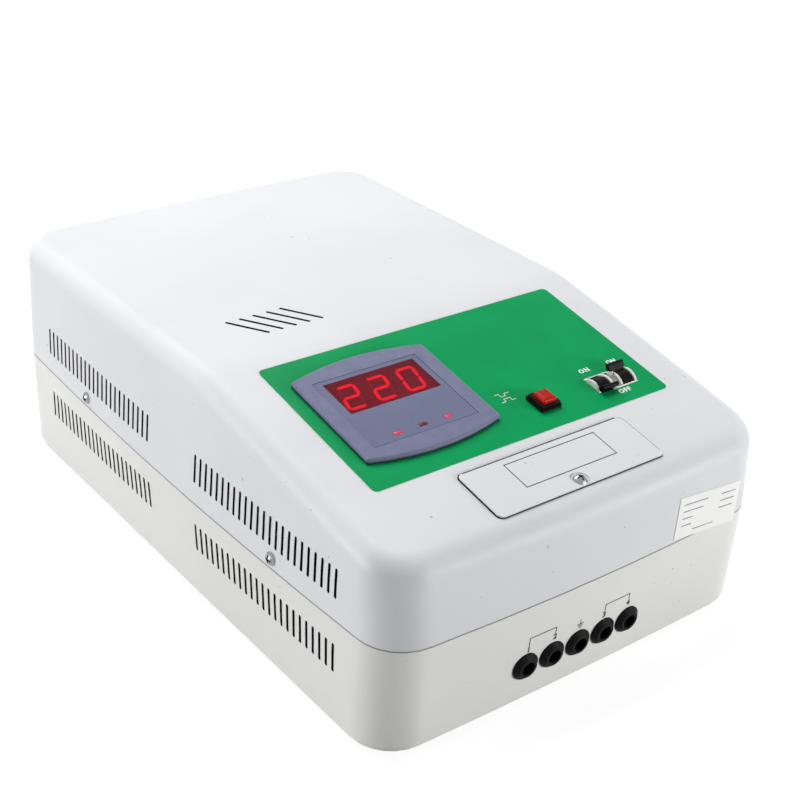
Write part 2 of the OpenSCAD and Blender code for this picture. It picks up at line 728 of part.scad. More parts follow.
module button_cap() color([0.80, 0.10, 0.06]) in_frame() on_panel(button_x, button_down) {
  side = film_t + cap_top - cap_slope_h;
  translate([0, 0, -cap_low]) block([cap_side, cap_side, cap_low + side]);
  hull() {
    translate([0, 0, side - eps]) block([cap_side, cap_side, eps]);
    translate([0, 0, side]) block([cap_side - 2 * cap_slope_w, cap_side - 2 * cap_slope_w, cap_slope_h]);
  }
}

module button_contacts() color(brass) in_frame() on_panel(button_x, button_down)
  for (x = [-1 : 1]) translate([x * contact_pitch, 0, -switch_low - contact_l])
    block([contact_t, contact_w, contact_l]);

// Breakers square to the slope on a hanging rail; local zero is the toggle axis
nose_under = 1.5;
breaker_depth = 66;
breaker_l = 80;
nose_l = 45;
shoulder_h = 42;
nose_root_h = 46;
collar_r = drum_r + 0.6;
collar_w = cutout_w - pole_w - 2 * fit_gap;
collar_l = cutout_h - 2 * fit_gap;
drum_gap = 0.4;
pin_r = 1.5;
handle_t = 2.8;
pole_gap = 0.1;
rail_low = nose_under + breaker_depth;
rail_w = 35;
rail_t = 1;
rail_hat = 27;
rail_drop = 7.5;
rail_play = 0.2;
hook_in = 1.3;
hook_t = 2.6;
tunnel_d = 6.4;
tunnel_depth = 12;
tunnel_y = (breaker_l + nose_l) / 4;
cable_hole = 8;

module at_pair() in_frame() on_panel(breaker_x, breaker_down) translate([0, 0, -toggle_sink]) children();
module at_toggle(side) at_pair() translate([side * pole_w / 2, 0, 0]) children();
module across(w) translate([-w / 2, 0, 0]) rotate([90, 0, 90]) linear_extrude(w) children();
module at_tunnels() for (y = [-1, 1])
  translate([0, y * tunnel_y, shoulder_h - tunnel_depth - rail_low]) children();

module breaker_side() difference() {
  foot = -hook_t - rail_t - rail_play;
  polygon([
    [-breaker_l / 2, foot], [breaker_l / 2, foot], [breaker_l / 2, shoulder_h], [nose_l / 2, nose_root_h],
    [nose_l / 2, breaker_depth], [-nose_l / 2, breaker_depth], [-nose_l / 2, nose_root_h],
    [-breaker_l / 2, shoulder_h]
  ]);
  translate([-rail_w / 2 - rail_play, -rail_t - rail_play])
    square([rail_w + 2 * rail_play, rail_t + rail_play]);
  translate([-rail_w / 2 + hook_in, foot - cut_over])
    square([rail_w - 2 * hook_in, hook_t + rail_t + cut_over]);
}

module breaker_body(side) color(white_plastic) at_toggle(side) difference() {
  w = pole_w - pole_gap;
  slot = drum_w + 2 * drum_gap;
  union() {
    translate([0, 0, -rail_low]) across(w) breaker_side();
    intersection() {
      across(collar_w) circle(r = collar_r, $fn = curve_fn);
      translate([0, 0, -nose_under - eps]) block([collar_w, collar_l, collar_r + nose_under]);
    }
  }
  across(slot) circle(r = drum_r + drum_gap, $fn = curve_fn);
  translate([0, 0, -nose_under]) block([slot, 2 * collar_r, collar_r + nose_under + cut_over]);
  across(collar_w - pin_r) circle(r = pin_r + pin_gap / 2, $fn = curve_fn);
  at_tunnels() cylinder(d = tunnel_d, h = breaker_depth, $fn = curve_fn);
  for (y = [-1, 1]) translate([0, y * breaker_l / 2, shoulder_h / 3 - rail_low])
    block([cable_hole, 2 * tunnel_depth, cable_hole]);
}

module bypass_breaker() breaker_body(-1);
module mains_breaker() breaker_body(1);

module toggle(side, lean) color(black_plastic) at_toggle(side) rotate([lean, 0, 0]) difference() {
  tip = handle_tip_r - handle_t / 2;
  low = collar_r + drum_gap;
  union() {
    across(drum_w) circle(r = drum_r, $fn = curve_fn);
    block([drum_w, handle_t, tip]);
    translate([0, 0, low]) block([handle_w, handle_t, tip - low]);
    translate([0, 0, tip]) across(handle_w) circle(d = handle_t, $fn = curve_fn);
  }
  across(drum_w + 2 * cut_over) circle(r = pin_r + pin_gap, $fn = curve_fn);
}

module bypass_toggle() toggle(-1, toggle_swing);
module mains_toggle() toggle(1, -toggle_swing);

module toggle_pins() color(zinc) for (side = [-1, 1])
  at_toggle(side) across(collar_w - pin_r - 2 * pin_gap) circle(r = pin_r, $fn = curve_fn);

module breaker_screws() color(brass) for (side = [-1, 1]) at_toggle(side) at_tunnels() difference() {
  cylinder(d = tunnel_d - 2 * fit_gap, h = tunnel_depth / 2, $fn = curve_fn);
  translate([0, 0, tunnel_depth / 3]) block([tunnel_d, rail_t, tunnel_depth]);
}

module rail_side() {
  brim = (rail_w - rail_hat) / 2 + rail_t;
  for (y = [-1, 1]) {
    translate([y * (rail_w - brim) / 2 - brim / 2, -rail_t]) square([brim, rail_t]);
    translate([y * (rail_hat - rail_t) / 2 - rail_t / 2, -rail_drop]) square([rail_t, rail_drop]);
  }
  translate([-rail_hat / 2, -rail_drop]) square([rail_hat, rail_t]);
}

module breaker_rail() color(zinc) at_pair() translate([0, 0, -rail_low])
  across(2 * bracket_half - 2 * fit_gap) rail_side();

module breaker_bracket() color(zinc) at_pair() {
  top = toggle_sink - wall_t;
  low = -rail_low - rail_drop - bracket_t;
  translate([0, 0, low]) block([2 * (bracket_half + bracket_t), bracket_l, bracket_t]);
  for (x = [-1, 1]) {
    translate([x * (bracket_half + bracket_t / 2), 0, low]) block([bracket_t, bracket_l, top - low]);
    translate([x * (bracket_half + bracket_foot / 2), 0, top - bracket_t])
      block([bracket_foot, bracket_l, bracket_t]);
  }
}

// Cable grommets in the cable end
module cable_grommets() color(black_plastic) in_frame() at_grommets() rotate_extrude($fn = curve_fn) {
  r = grommet_bore / 2;
  waist = grommet_hole_d / 2 - fit_gap / 2;
  polygon([
    [r, -grommet_waist - grommet_tail], [waist + grommet_rim, -grommet_waist - grommet_tail + grommet_rim],
    [waist + grommet_rim, -grommet_waist], [waist, -grommet_waist], [waist, 0], [grommet_d / 2, 0],
    [grommet_d / 2, grommet_rim], [r + 2 * grommet_rim, grommet_out], [r, grommet_out]
  ]);
}

// Terminal strip behind the grommets
terminal_pitch = 15;
terminal_l = 26;
terminal_h = 12;
terminal_rib = 1.6;
terminal_rib_h = 8;
terminal_end = 36;
terminal_y = terminal_end - base_l / 2;
terminal_base_z = 18;
clamp_l = 20;
clamp_t = 1.2;
clamp_w = 10;
terminal_screw_d = 4;
terminal_head_d = 7.4;
terminal_head_h = 2.6;
terminal_screw_l = 7;
terminal_w = grommet_count * terminal_pitch + terminal_rib;
clamp_share = 0.26;

module at_terminals() for (i = [0 : grommet_count - 1]) in_frame()
  translate([grommet_x + (i - (grommet_count - 1) / 2) * terminal_pitch, terminal_y, 0])
    translate([0, 0, terminal_base_z + terminal_h]) children();
module at_terminal_screws() at_terminals() for (y = [-1, 1])
  translate([0, y * clamp_share * terminal_l, 0]) children();

module terminal_bracket() color(zinc) in_frame() translate([grommet_x, terminal_y, wall_t]) {
  top = terminal_base_z - wall_t;
  translate([0, 0, top - bracket_t]) block([terminal_w, terminal_l, bracket_t]);
  for (x = [-1, 1]) {
    translate([x * (terminal_w - bracket_t) / 2, 0, 0]) block([bracket_t, terminal_l, top]);
    translate([x * (terminal_w + bracket_foot - bracket_t) / 2, 0, 0])
      block([bracket_foot + bracket_t, terminal_l, bracket_t]);
  }
}

module terminal_holes() at_terminal_screws() translate([0, 0, -terminal_screw_l])
  cylinder(d = terminal_screw_d + fit_gap, h = terminal_screw_l + 2 * cut_over, $fn = curve_fn);

module terminal_block() color([0.16, 0.16, 0.17]) difference() {
  in_frame() translate([grommet_x, terminal_y, terminal_base_z]) {
    block([terminal_w, terminal_l, terminal_h]);
    for (i = [0 : grommet_count]) translate([(i - grommet_count / 2) * terminal_pitch, 0, 0])
      block([terminal_rib, terminal_l, terminal_h + terminal_rib_h]);
  }
  terminal_holes();
}

module terminal_clamps() color(brass) difference() {
  at_terminals() block([clamp_w, clamp_l, clamp_t]);
  terminal_holes();
}

module terminal_screws() color(brass) at_terminal_screws() translate([0, 0, clamp_t])
  pan_screw(terminal_screw_d, terminal_screw_l, terminal_head_d, terminal_head_h);

// Earth stud on the tray floor
earth_side = 44;
earth_end = 34;
earth_x = earth_side - base_w / 2;
earth_y = earth_end - base_l / 2;
earth_d = 5;
earth_l = 20;
earth_nut_w = 8;
earth_nut_h = 4;
earth_washer_d = 12;
earth_washer_t = 1;

module earth_stud() color(zinc) in_frame() translate([earth_x, earth_y, wall_t]) {
  cylinder(d = earth_d, h = earth_l, $fn = curve_fn);
  cylinder(d = 2 * earth_d, h = earth_washer_t, $fn = curve_fn);
}

module hex_nut(w, h, bore) difference() {
  cylinder(d = w / cos(30), h = h, $fn = 6);
  translate([0, 0, -cut_over]) cylinder(d = bore, h = h + 2 * cut_over, $fn = curve_fn);
}

module earth_nuts() color(zinc) in_frame() translate([earth_x, earth_y, wall_t + earth_washer_t]) {
  difference() {
    cylinder(d = earth_washer_d, h = earth_washer_t, $fn = curve_fn);
    translate([0, 0, -cut_over])
      cylinder(d = earth_d + 2 * pin_gap, h = earth_washer_t + 2 * cut_over, $fn = curve_fn);
  }
  translate([0, 0, earth_washer_t]) hex_nut(earth_nut_w, earth_nut_h, earth_d + 2 * pin_gap);
}

// Ring transformer on the tray floor
ring_d = ring_d_share * base_l;
ring_y = base_l / 2 - ring_end_gap - ring_d / 2;
pad_t = 3;
pad_share = 0.7;
pad_d = ring_d * pad_share;
ring_z = wall_t + pad_t;
ring_round = 9;
coil_out = 10;
coil_in = 12;
core_gap = 0.2;
clamp_d = 110;
clamp_plate_t = 2;
clamp_dish = 8;
clamp_flat = 15;
stud_d = 8;
stud_foot_d = 20;
stud_foot_t = 3;
nut_w = 13;
ring_nut_h = 6.5;
washer_t = 1.6;
clamp_z = ring_z + ring_h + pad_t;
stud_top = clamp_z - clamp_dish + clamp_plate_t + washer_t + ring_nut_h + stud_d;

module at_ring() in_frame() translate([0, ring_y, 0]) children();

module ring_section(inset_out, inset_in, r)
  translate([(ring_d + ring_bore) / 4 + (inset_in - inset_out) / 2, ring_h / 2])
  round_rect((ring_d - ring_bore) / 2 - inset_in - inset_out, ring_h - 2 * inset_out, r);

module transformer_core() color([0.45, 0.46, 0.48]) at_ring() translate([0, 0, ring_z])
  rotate_extrude($fn = curve_fn) ring_section(coil_out + core_gap, coil_in + core_gap, core_gap);

module transformer_winding() color([0.72, 0.40, 0.16]) at_ring() translate([0, 0, ring_z])
  rotate_extrude($fn = curve_fn) difference() {
    ring_section(0, 0, ring_round);
    ring_section(coil_out, coil_in, core_gap);
  }

module transformer_pads() color(black_plastic) at_ring() for (z = [wall_t, ring_z + ring_h])
  translate([0, 0, z]) difference() {
    cylinder(d = pad_d, h = pad_t, $fn = curve_fn);
    translate([0, 0, -cut_over]) cylinder(d = ring_bore, h = pad_t + 2 * cut_over, $fn = curve_fn);
  }

module transformer_clamp() color(zinc) at_ring() translate([0, 0, clamp_z]) rotate_extrude($fn = curve_fn) {
  r = stud_d / 2 + fit_gap;
  polygon([
    [r, -clamp_dish], [clamp_flat, -clamp_dish], [ring_bore / 2, 0], [clamp_d / 2, 0],
    [clamp_d / 2, clamp_plate_t], [ring_bore / 2, clamp_plate_t], [clamp_flat, clamp_plate_t - clamp_dish],
    [r, clamp_plate_t - clamp_dish]
  ]);
}

module transformer_stud() color(zinc) at_ring() translate([0, 0, wall_t]) {
  cylinder(d = stud_foot_d, h = stud_foot_t, $fn = curve_fn);
  cylinder(d = stud_d, h = stud_top - wall_t, $fn = curve_fn);
}

module transformer_nut() color(zinc) at_ring() translate([0, 0, clamp_z - clamp_dish + clamp_plate_t]) {
  difference() {
    cylinder(d = 2 * nut_w, h = washer_t, $fn = curve_fn);
    translate([0, 0, -cut_over])
      cylinder(d = stud_d + 2 * pin_gap, h = washer_t + 2 * cut_over, $fn = curve_fn);
  }
  translate([0, 0, washer_t]) hex_nut(nut_w, ring_nut_h, stud_d + 2 * pin_gap);
}

// Control board on four posts
board_w = board_w_share * base_w;
board_l = board_l_share * base_l;
board_x = board_side_gap + board_w / 2 - base_w / 2;
board_y = board_end_gap + board_l / 2 - base_l / 2;
board_t = 1.6;
board_up = 9;
board_edge = 5;
board_post_w = 6;
board_z = wall_t + board_up + board_t;
board_screw_d = 3;
board_screw_l = 6;
board_head_d = 5.6;
board_head_h = 2;
relay_row_share = 0.24;
relay_span_share = 0.94;
relay_l_share = 0.304;
relay_gap = 2.7;
relay_w = relay_span_share * board_w / relay_count - relay_gap;
relay_l = relay_l_share * board_l;
relay_h = 26;
relay_round = 1.5;
can_shares = [-0.42, -0.30, -0.18];
can_gap = 3;
can_d = (can_shares[1] - can_shares[0]) * board_w - can_gap;
can_h = 31;
can_skirt = 1.4;
sink_w = 36;
sink_l = 22;
sink_h = 30;
sink_base = 4;
fin_t = 1.4;
fin_count = 6;
core_w = 35;
core_l = 15;
core_h = 30;
coil_w = 20;
coil_l = 27;
chip_w = 36;
chip_l = 8;
chip_h = 4;
socket_w = 13;
socket_l = 7;
socket_h = 9;
socket_wall = 1;

module on_board(x_share, y_share) in_frame()
  translate([board_x + x_share * board_w, board_y + y_share * board_l, board_z]) children();
module at_board_posts() in_frame() for (x = [-1, 1], y = [-1, 1])
  translate([board_x + x * (board_w / 2 - board_edge), board_y + y * (board_l / 2 - board_edge), wall_t])
    children();

module control_board() color(board_green) difference() {
  on_board(0, 0) translate([0, 0, -board_t]) block([board_w, board_l, board_t]);
  at_board_posts() translate([0, 0, board_up - cut_over])
    cylinder(d = board_screw_d + fit_gap, h = board_t + 2 * cut_over, $fn = curve_fn);
}

module board_posts() color(brass) at_board_posts()
  hex_nut(board_post_w, board_up, board_screw_d + 2 * pin_gap);

module board_screws() color(zinc) at_board_posts() translate([0, 0, board_up + board_t])
  pan_screw(board_screw_d, board_screw_l, board_head_d, board_head_h);

module power_relays() color([0.10, 0.12, 0.16]) for (i = [0 : relay_count - 1])
  on_board(((i + 1 / 2) / relay_count - 1 / 2) * relay_span_share, relay_row_share) {
    plate(relay_w, relay_l, relay_h - relay_round, relay_round);
    plate(relay_w - 2 * relay_round, relay_l - 2 * relay_round, relay_h, relay_round);
  }

can_row_share = -0.15;
module board_capacitors() color([0.12, 0.14, 0.30]) for (s = can_shares) on_board(s, can_row_share)
  rotate_extrude($fn = curve_fn) polygon([
    [0, 0], [can_d / 2 - can_skirt / 2, 0], [can_d / 2, can_skirt],
    [can_d / 2 - can_skirt / 2, 2 * can_skirt],
    [can_d / 2, 3 * can_skirt], [can_d / 2, can_h - can_skirt], [can_d / 2 - can_skirt, can_h], [0, can_h]
  ]);

sink_place_share = [0.38, -0.2];
module board_heatsink() color([0.20, 0.20, 0.22]) on_board(sink_place_share[0], sink_place_share[1]) {
  block([sink_w, sink_base, sink_h]);
  for (i = [0 : fin_count - 1]) translate([(i / (fin_count - 1) - 1 / 2) * (sink_w - fin_t), sink_l / 2, 0])
    block([fin_t, sink_l, sink_h]);
}

supply_place_share = [0.02, -0.17];
module supply_transformer() color([0.62, 0.50, 0.24]) on_board(supply_place_share[0], supply_place_share[1]) {
  block([core_w, core_l, core_h]);
  translate([0, 0, (core_h - coil_w) / 2]) block([coil_w, coil_l, coil_w]);
  block([core_w - 2 * socket_l, coil_l, (core_h - coil_w) / 2 + eps]);
}

chip_places_share = [[-0.1, -0.4], [0.2, -0.4]];
module board_chips() color(black_plastic) for (p = chip_places_share) on_board(p[0], p[1]) difference() {
  block([chip_w, chip_l, chip_h]);
  translate([-chip_w / 2, 0, chip_h - socket_wall]) cylinder(d = chip_l / 4, h = chip_h, $fn = curve_fn);
}

socket_shares = [-0.42, -0.31, 0.42];
socket_row_share = -0.36;
module board_sockets() color(white_plastic)
  for (s = socket_shares) on_board(s, socket_row_share) difference() {
  block([socket_w, socket_l, socket_h]);
  translate([0, 0, socket_wall]) block([socket_w - 2 * socket_wall, socket_l - 2 * socket_wall, socket_h]);
}

base_tray();
top_cover();
lip_nuts();
cover_screws();
terminal_hatch();
hatch_screw();
hatch_nut();
front_film();
display_bezel();
bezel_film();
display_window();
digit_modules();
indicator_leds();
display_board();
display_screws();
button_housing();
button_cap();
button_contacts();
bypass_breaker();
mains_breaker();
bypass_toggle();
mains_toggle();
toggle_pins();
breaker_screws();
breaker_rail();
breaker_bracket();
cable_grommets();
terminal_bracket();
terminal_block();
terminal_clamps();
terminal_screws();
earth_stud();
earth_nuts();
transformer_core();
transformer_winding();
transformer_pads();
transformer_clamp();
transformer_stud();
transformer_nut();
control_board();
board_posts();
board_screws();
power_relays();
board_capacitors();
board_heatsink();
supply_transformer();
board_chips();
board_sockets();
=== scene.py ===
"""Voltage stabilizer: painted shells, printed panel, display, switches and studio."""
import math

import bmesh
import bpy
from bpy.props import FloatProperty, FloatVectorProperty, PointerProperty
from mathutils import Matrix, Vector


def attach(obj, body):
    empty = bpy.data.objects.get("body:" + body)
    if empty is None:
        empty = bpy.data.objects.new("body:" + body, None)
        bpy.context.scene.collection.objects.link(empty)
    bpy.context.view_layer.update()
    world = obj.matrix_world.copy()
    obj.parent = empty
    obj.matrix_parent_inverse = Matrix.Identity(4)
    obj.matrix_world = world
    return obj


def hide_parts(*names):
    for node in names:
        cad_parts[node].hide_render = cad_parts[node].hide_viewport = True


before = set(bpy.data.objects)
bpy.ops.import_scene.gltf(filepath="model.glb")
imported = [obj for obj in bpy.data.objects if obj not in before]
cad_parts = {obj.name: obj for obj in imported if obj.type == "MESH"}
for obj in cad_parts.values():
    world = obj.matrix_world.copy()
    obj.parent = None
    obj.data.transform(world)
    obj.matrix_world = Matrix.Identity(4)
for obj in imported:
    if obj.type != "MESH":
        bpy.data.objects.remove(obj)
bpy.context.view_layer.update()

bl_info = {
    "name": "Voltage Stabilizer",
    "version": (1, 0, 0),
    "blender": (4, 5, 0),
    "location": "View3D > Sidebar > Stabilizer",
    "description": "Finishes and details of a wall-hung voltage stabilizer",
    "category": "Object",
}

# Places that the CAD fixes, in metres
FRAME_Y = 0.0015
FOLD_Y = -0.029
TOP_Z = 0.148
SEAM_Z = 0.0682
WELD_Z = 0.07
SLOPE = math.radians(10.4)
FILM_FACE = 0.0004
HATCH_FACE = 0.0012
RING_Y = 0.0898

# Where a ray starts behind the cable end's wall, and how far it starts off a face or goes on
INSIDE_Y = -0.17
RAY_START = 2e-5
RAY_STEP = 1e-5

PANEL = Matrix.Translation((0, FRAME_Y + FOLD_Y, TOP_Z)) @ Matrix.Rotation(SLOPE, 4, "X")
DISPLAY = PANEL @ Matrix.Translation((-0.0507042, -0.0682, 0))

# The seven bars of a digit with their side and height, the bars lit, and the digits' place
BARS = {
    "a": (0, 1), "g": (0, 0), "d": (0, -1), "f": (-1, 1),
    "b": (1, 1), "e": (-1, -1), "c": (1, -1),
}
LIT = ("abged", "abged", "abcdef")
DIGITS_PLACE = (0.0004, 0.0137, 0.00031)

# The rules on the label: start, end and height, as shares of its width and height
LABEL_RULES = (
    (0.08, 0.46, 0.8), (0.68, 0.92, 0.8), (0.08, 0.4, 0.63), (0.68, 0.92, 0.63),
    (0.08, 0.24, 0.46), (0.68, 0.9, 0.46), (0.08, 0.24, 0.29), (0.28, 0.62, 0.14),
)

# Lettering: the font's size and the stroke's widening, as shares of a capital's height
FONT_SIZE = 1.42
FONT_OFFSET = 0.07

# Angles in degrees above which an edge is sharp, on turned or bowed faces and on moulded pieces
ROUND_ANGLE = 32.0
MOULDED_ANGLE = 25.0

# The studio: each lamp's name, place, width, power and colour, and the point that they face
LAMPS = (
    ("key_lamp", (0.12, 1.1, 1.92), 1.7, 51.0, (1.0, 0.995, 1.0)),
    ("left_lamp", (-2.85, 1.05, 0.25), 1.4, 86.0, (1.0, 1.0, 1.0)),
    ("right_lamp", (1.95, -2.7, 0.36), 1.5, 113.0, (1.0, 1.0, 0.99)),
)
LAMP_AIM = Vector((0, -0.02, 0.07))
WORLD_LIGHT = 0.06
FLOOR_SIZE = 9
FLOOR_Z = -0.0005
FLOOR_SHADE = 0.4
FLOOR_GLOW = 0.82

# The camera of the photograph: its own right, up and back, its place, and its lens and shift
CAMERA_AXES = (
    (0.7976968, -0.601521, 0.0430378),
    (0.2562343, 0.4026737, 0.8787479),
    (-0.5459155, -0.6899467, 0.4753418),
)
CAMERA_PLACE = (-0.4883, -0.648, 0.5196)
CAMERA_SENSOR = 36.0
CAMERA_LENS = 66.73
CAMERA_SHIFT = (0.0051, -0.001)


def mm(value):
    """A length given in millimetres."""
    return value / 1000


# Sizes and colours

def length(name, description, value):
    return FloatProperty(
        name=name, description=description, default=value, min=0.0,
        subtype="DISTANCE", unit="LENGTH")


def colour(name, description, value):
    return FloatVectorProperty(
        name=name, description=description, default=value, size=3, min=0.0, max=1.0,
        subtype="COLOR")


class StabilizerSizes(bpy.types.PropertyGroup):
    """Sizes of the details that this script adds"""
    edge: length("Moulded edge", "Radius on the edges of the plastic pieces", mm(0.2))
    cap_edge: length("Cap edge", "Radius on the edges of the red cap", mm(0.45))
    toggle_edge: length("Toggle edge", "Radius on the edges of the toggles", mm(0.3))
    plate_edge: length("Plate edge", "Radius on the edges of the hatch plate", mm(0.25))
    bar_w: length("Bar width", "Width of a light bar in a digit", mm(2.1))
    bar_t: length("Bar thickness", "Thickness of a light bar", mm(0.12))
    digit_pitch: length("Digit pitch", "Distance from one digit to the next", mm(20.1))
    lamp_pitch: length("Lamp pitch", "Distance from one indicator lamp to the next", mm(17))
    print_t: length("Print thickness", "Thickness of the printed marks", mm(0.02))
    line_w: length("Line width", "Width of the dark printed lines", mm(0.62))
    step_w: length("Step line width", "Width of the white lines beside the button", mm(0.42))
    label_w: length("Label width", "Length of the paper label along the wall", mm(52.8))
    label_h: length("Label height", "Height of the paper label", mm(25.4))


class StabilizerColours(bpy.types.PropertyGroup):
    """Colours of the finishes"""
    cover: colour("Cover paint", "Cool grey powder coat of the cover", (0.74, 0.755, 0.775))
    tray: colour("Tray paint", "Warmer grey powder coat of the tray", (0.80, 0.80, 0.78))
    film: colour("Panel green", "Green of the printed film", (0.0015, 0.335, 0.1))
    bezel: colour("Bezel", "Blue-grey plastic round the display", (0.178, 0.19, 0.3))
    pane: colour("Display pane", "Red tint of the display pane", (0.42, 0.015, 0.045))
    light: colour("Lit bars", "Red of the lit bars and lamps", (1.0, 0.0, 0.09))
    cap: colour("Button cap", "Red of the push button", (0.48, 0.009, 0.004))
    black: colour("Black plastic", "Black of the toggles and button frame", (0.003, 0.003, 0.0035))
    white: colour("White plastic", "Off-white of the breakers", (0.80, 0.80, 0.765))
    rubber: colour("Rubber", "Black of the cable grommets", (0.004, 0.004, 0.004))
    print_white: colour("White print", "White ink on the panel", (0.86, 0.88, 0.86))
    print_dark: colour("Dark print", "Dark ink on the housing", (0.035, 0.036, 0.042))
    paper: colour("Label paper", "White of the paper label", (0.95, 0.95, 0.945))


def sizes():
    return bpy.context.scene.stabilizer_sizes


def colours():
    return bpy.context.scene.stabilizer_colours


# Finishes

# The part of a noise pattern's range that is spread over all of a finish's range
CLOUD = (0.3, 0.7)


def shade(base, share, more=0.0):
    """A share of a colour, with a little added."""
    return [min(1.0, part * share + more) for part in base]


class Finish:
    """One material: a Principled shader and the patterns that feed it, on Object coordinates."""

    def __init__(self, name, metallic=0.0, specular=0.5):
        self.material = bpy.data.materials.new(name)
        self.material.use_nodes = True
        self.tree = self.material.node_tree
        self.tree.nodes.clear()
        output = self.tree.nodes.new("ShaderNodeOutputMaterial")
        self.shader = self.tree.nodes.new("ShaderNodeBsdfPrincipled")
        self.tree.links.new(self.shader.outputs["BSDF"], output.inputs["Surface"])
        self.shader.inputs["Metallic"].default_value = metallic
        self.shader.inputs["Specular IOR Level"].default_value = specular
        self.place = self.tree.nodes.new("ShaderNodeTexCoord").outputs["Object"]
        self.normal = None

    def node(self, kind, **values):
        made = self.tree.nodes.new(kind)
        for key, value in values.items():
            setattr(made, key, value)
        return made

    def feed(self, socket, value):
        if isinstance(value, bpy.types.NodeSocket):
            self.tree.links.new(value, socket)
        else:
            socket.default_value = value

    def math(self, operation, a, b=0.0, c=0.0):
        made = self.node("ShaderNodeMath", operation=operation)
        for socket, value in zip(made.inputs, (a, b, c)):
            self.feed(socket, value)
        return made.outputs[0]

    def split(self):
        made = self.node("ShaderNodeSeparateXYZ")
        self.feed(made.inputs[0], self.place)
        return made.outputs

    def over_slope(self):
        """Height over the slope's outer face."""
        _, y, z = self.split()
        y_part = self.math("MULTIPLY", y, -math.sin(SLOPE))
        z_part = self.math("MULTIPLY", z, math.cos(SLOPE))
        start = TOP_Z * math.cos(SLOPE) - (FRAME_Y + FOLD_Y) * math.sin(SLOPE)
        return self.math("SUBTRACT", self.math("ADD", y_part, z_part), start)

    def noise(self, scale, detail=2.0, rough=0.5, place=None):
        made = self.node("ShaderNodeTexNoise")
        self.feed(made.inputs["Vector"], place or self.place)
        for key, value in (("Scale", scale), ("Detail", detail), ("Roughness", rough)):
            made.inputs[key].default_value = value
        return made.outputs["Fac"]

    def cells(self, scale, feature="F1"):
        made = self.node("ShaderNodeTexVoronoi", feature=feature)
        self.feed(made.inputs["Vector"], self.place)
        made.inputs["Scale"].default_value = scale
        return made.outputs["Distance"]

    def stretched(self, factors, turn=(0, 0, 0), centre=(0, 0, 0)):
        made = self.node("ShaderNodeMapping")
        self.feed(made.inputs["Vector"], self.place)
        made.inputs["Location"].default_value = centre
        made.inputs["Rotation"].default_value = turn
        made.inputs["Scale"].default_value = factors
        return made.outputs[0]

    def span(self, value, low, high, to_low, to_high):
        made = self.node("ShaderNodeMapRange")
        for socket, number in zip(made.inputs, (value, low, high, to_low, to_high)):
            self.feed(socket, number)
        return made.outputs[0]

    def blend(self, factor, a, b):
        made = self.node("ShaderNodeMix", data_type="RGBA")
        self.feed(made.inputs["Factor"], factor)
        for socket, value in ((made.inputs["A"], a), (made.inputs["B"], b)):
            self.feed(socket, value if isinstance(value, bpy.types.NodeSocket) else (*value, 1.0))
        return made.outputs["Result"]

    def tint(self, base, low, high, scale, detail=3.0):
        """The base colour, darker and lighter by shares, in soft clouds."""
        fade = self.span(self.noise(scale, detail), 0.35, 0.65, 0.0, 1.0)
        return self.blend(fade, shade(base, low), shade(base, high))

    def colour(self, value):
        self.feed(self.shader.inputs["Base Color"], value)
        return self

    def rough(self, value):
        self.feed(self.shader.inputs["Roughness"], value)
        return self

    def cloudy(self, scale, low, high, detail=2.0):
        """Roughness that drifts from one value to another in soft clouds."""
        return self.rough(self.span(self.noise(scale, detail), *CLOUD, low, high))

    def relief(self, height, distance, strength=1.0):
        made = self.node("ShaderNodeBump")
        made.inputs["Strength"].default_value = strength
        made.inputs["Distance"].default_value = distance
        self.feed(made.inputs["Height"], height)
        if self.normal is not None:
            self.feed(made.inputs["Normal"], self.normal)
        self.normal = made.outputs["Normal"]
        self.feed(self.shader.inputs["Normal"], self.normal)
        return self

    def fixed(self, **values):
        for key, value in values.items():
            self.shader.inputs[key.replace("_", " ")].default_value = value
        return self


def powder_coat(name, base):
    """Powder coat on sheet steel: orange peel, specks, painted shade along the seam and ground
    corner welds.
    """
    made = Finish(name, specular=0.35)
    paint = made.tint(base, 0.975, 1.02, 9.0)
    speck = made.span(made.noise(230.0, 1.0), 0.79, 0.8, 0.0, 0.6)
    paint = made.blend(speck, paint, shade(base, 0.45))
    x, y, z = made.split()
    # Painted shade: a darker band along the seam stands in for the shadow in the gap between cover
    # and tray
    seam = made.math("ABSOLUTE", made.math("SUBTRACT", z, SEAM_Z))
    gap = made.span(seam, mm(0.35), mm(0.75), 0.45, 0.0)
    made.colour(made.blend(gap, paint, shade(base, 0.25)))
    made.cloudy(45.0, 0.44, 0.54)
    end = made.span(made.math("ABSOLUTE", y), 0.19, 0.2, 0.0, 1.0)
    side = made.span(made.math("ABSOLUTE", x), 0.114, 0.124, 0.0, 1.0)
    from_weld = made.math("ABSOLUTE", made.math("SUBTRACT", z, WELD_Z))
    height = made.span(from_weld, 0.012, 0.03, 1.0, 0.12)
    weld = made.math("MULTIPLY", made.math("MULTIPLY", end, side), height)
    ground = made.math("MULTIPLY", made.noise(240.0, 3.0, 0.65), weld)
    made.relief(ground, 0.0006, 0.5)
    made.relief(made.noise(520.0, 2.0), 0.00003, 0.4)
    return made.material


def shade_lining(name, base=(0.010, 0.010, 0.011)):
    """Near-black painted shade for faces inside the shells, their slots and the screw recesses,
    with rolling lines.
    """
    made = Finish(name, specular=0.1)
    rolled = made.noise(150.0, 3.0, place=made.stretched((1.0, 12.0, 1.0)))
    streak = made.span(rolled, 0.35, 0.65, 0.0, 1.0)
    made.colour(made.blend(streak, shade(base, 0.7), shade(base, 1.4)))
    made.cloudy(80.0, 0.5, 0.7)
    return made.relief(rolled, 0.00003, 0.4).material


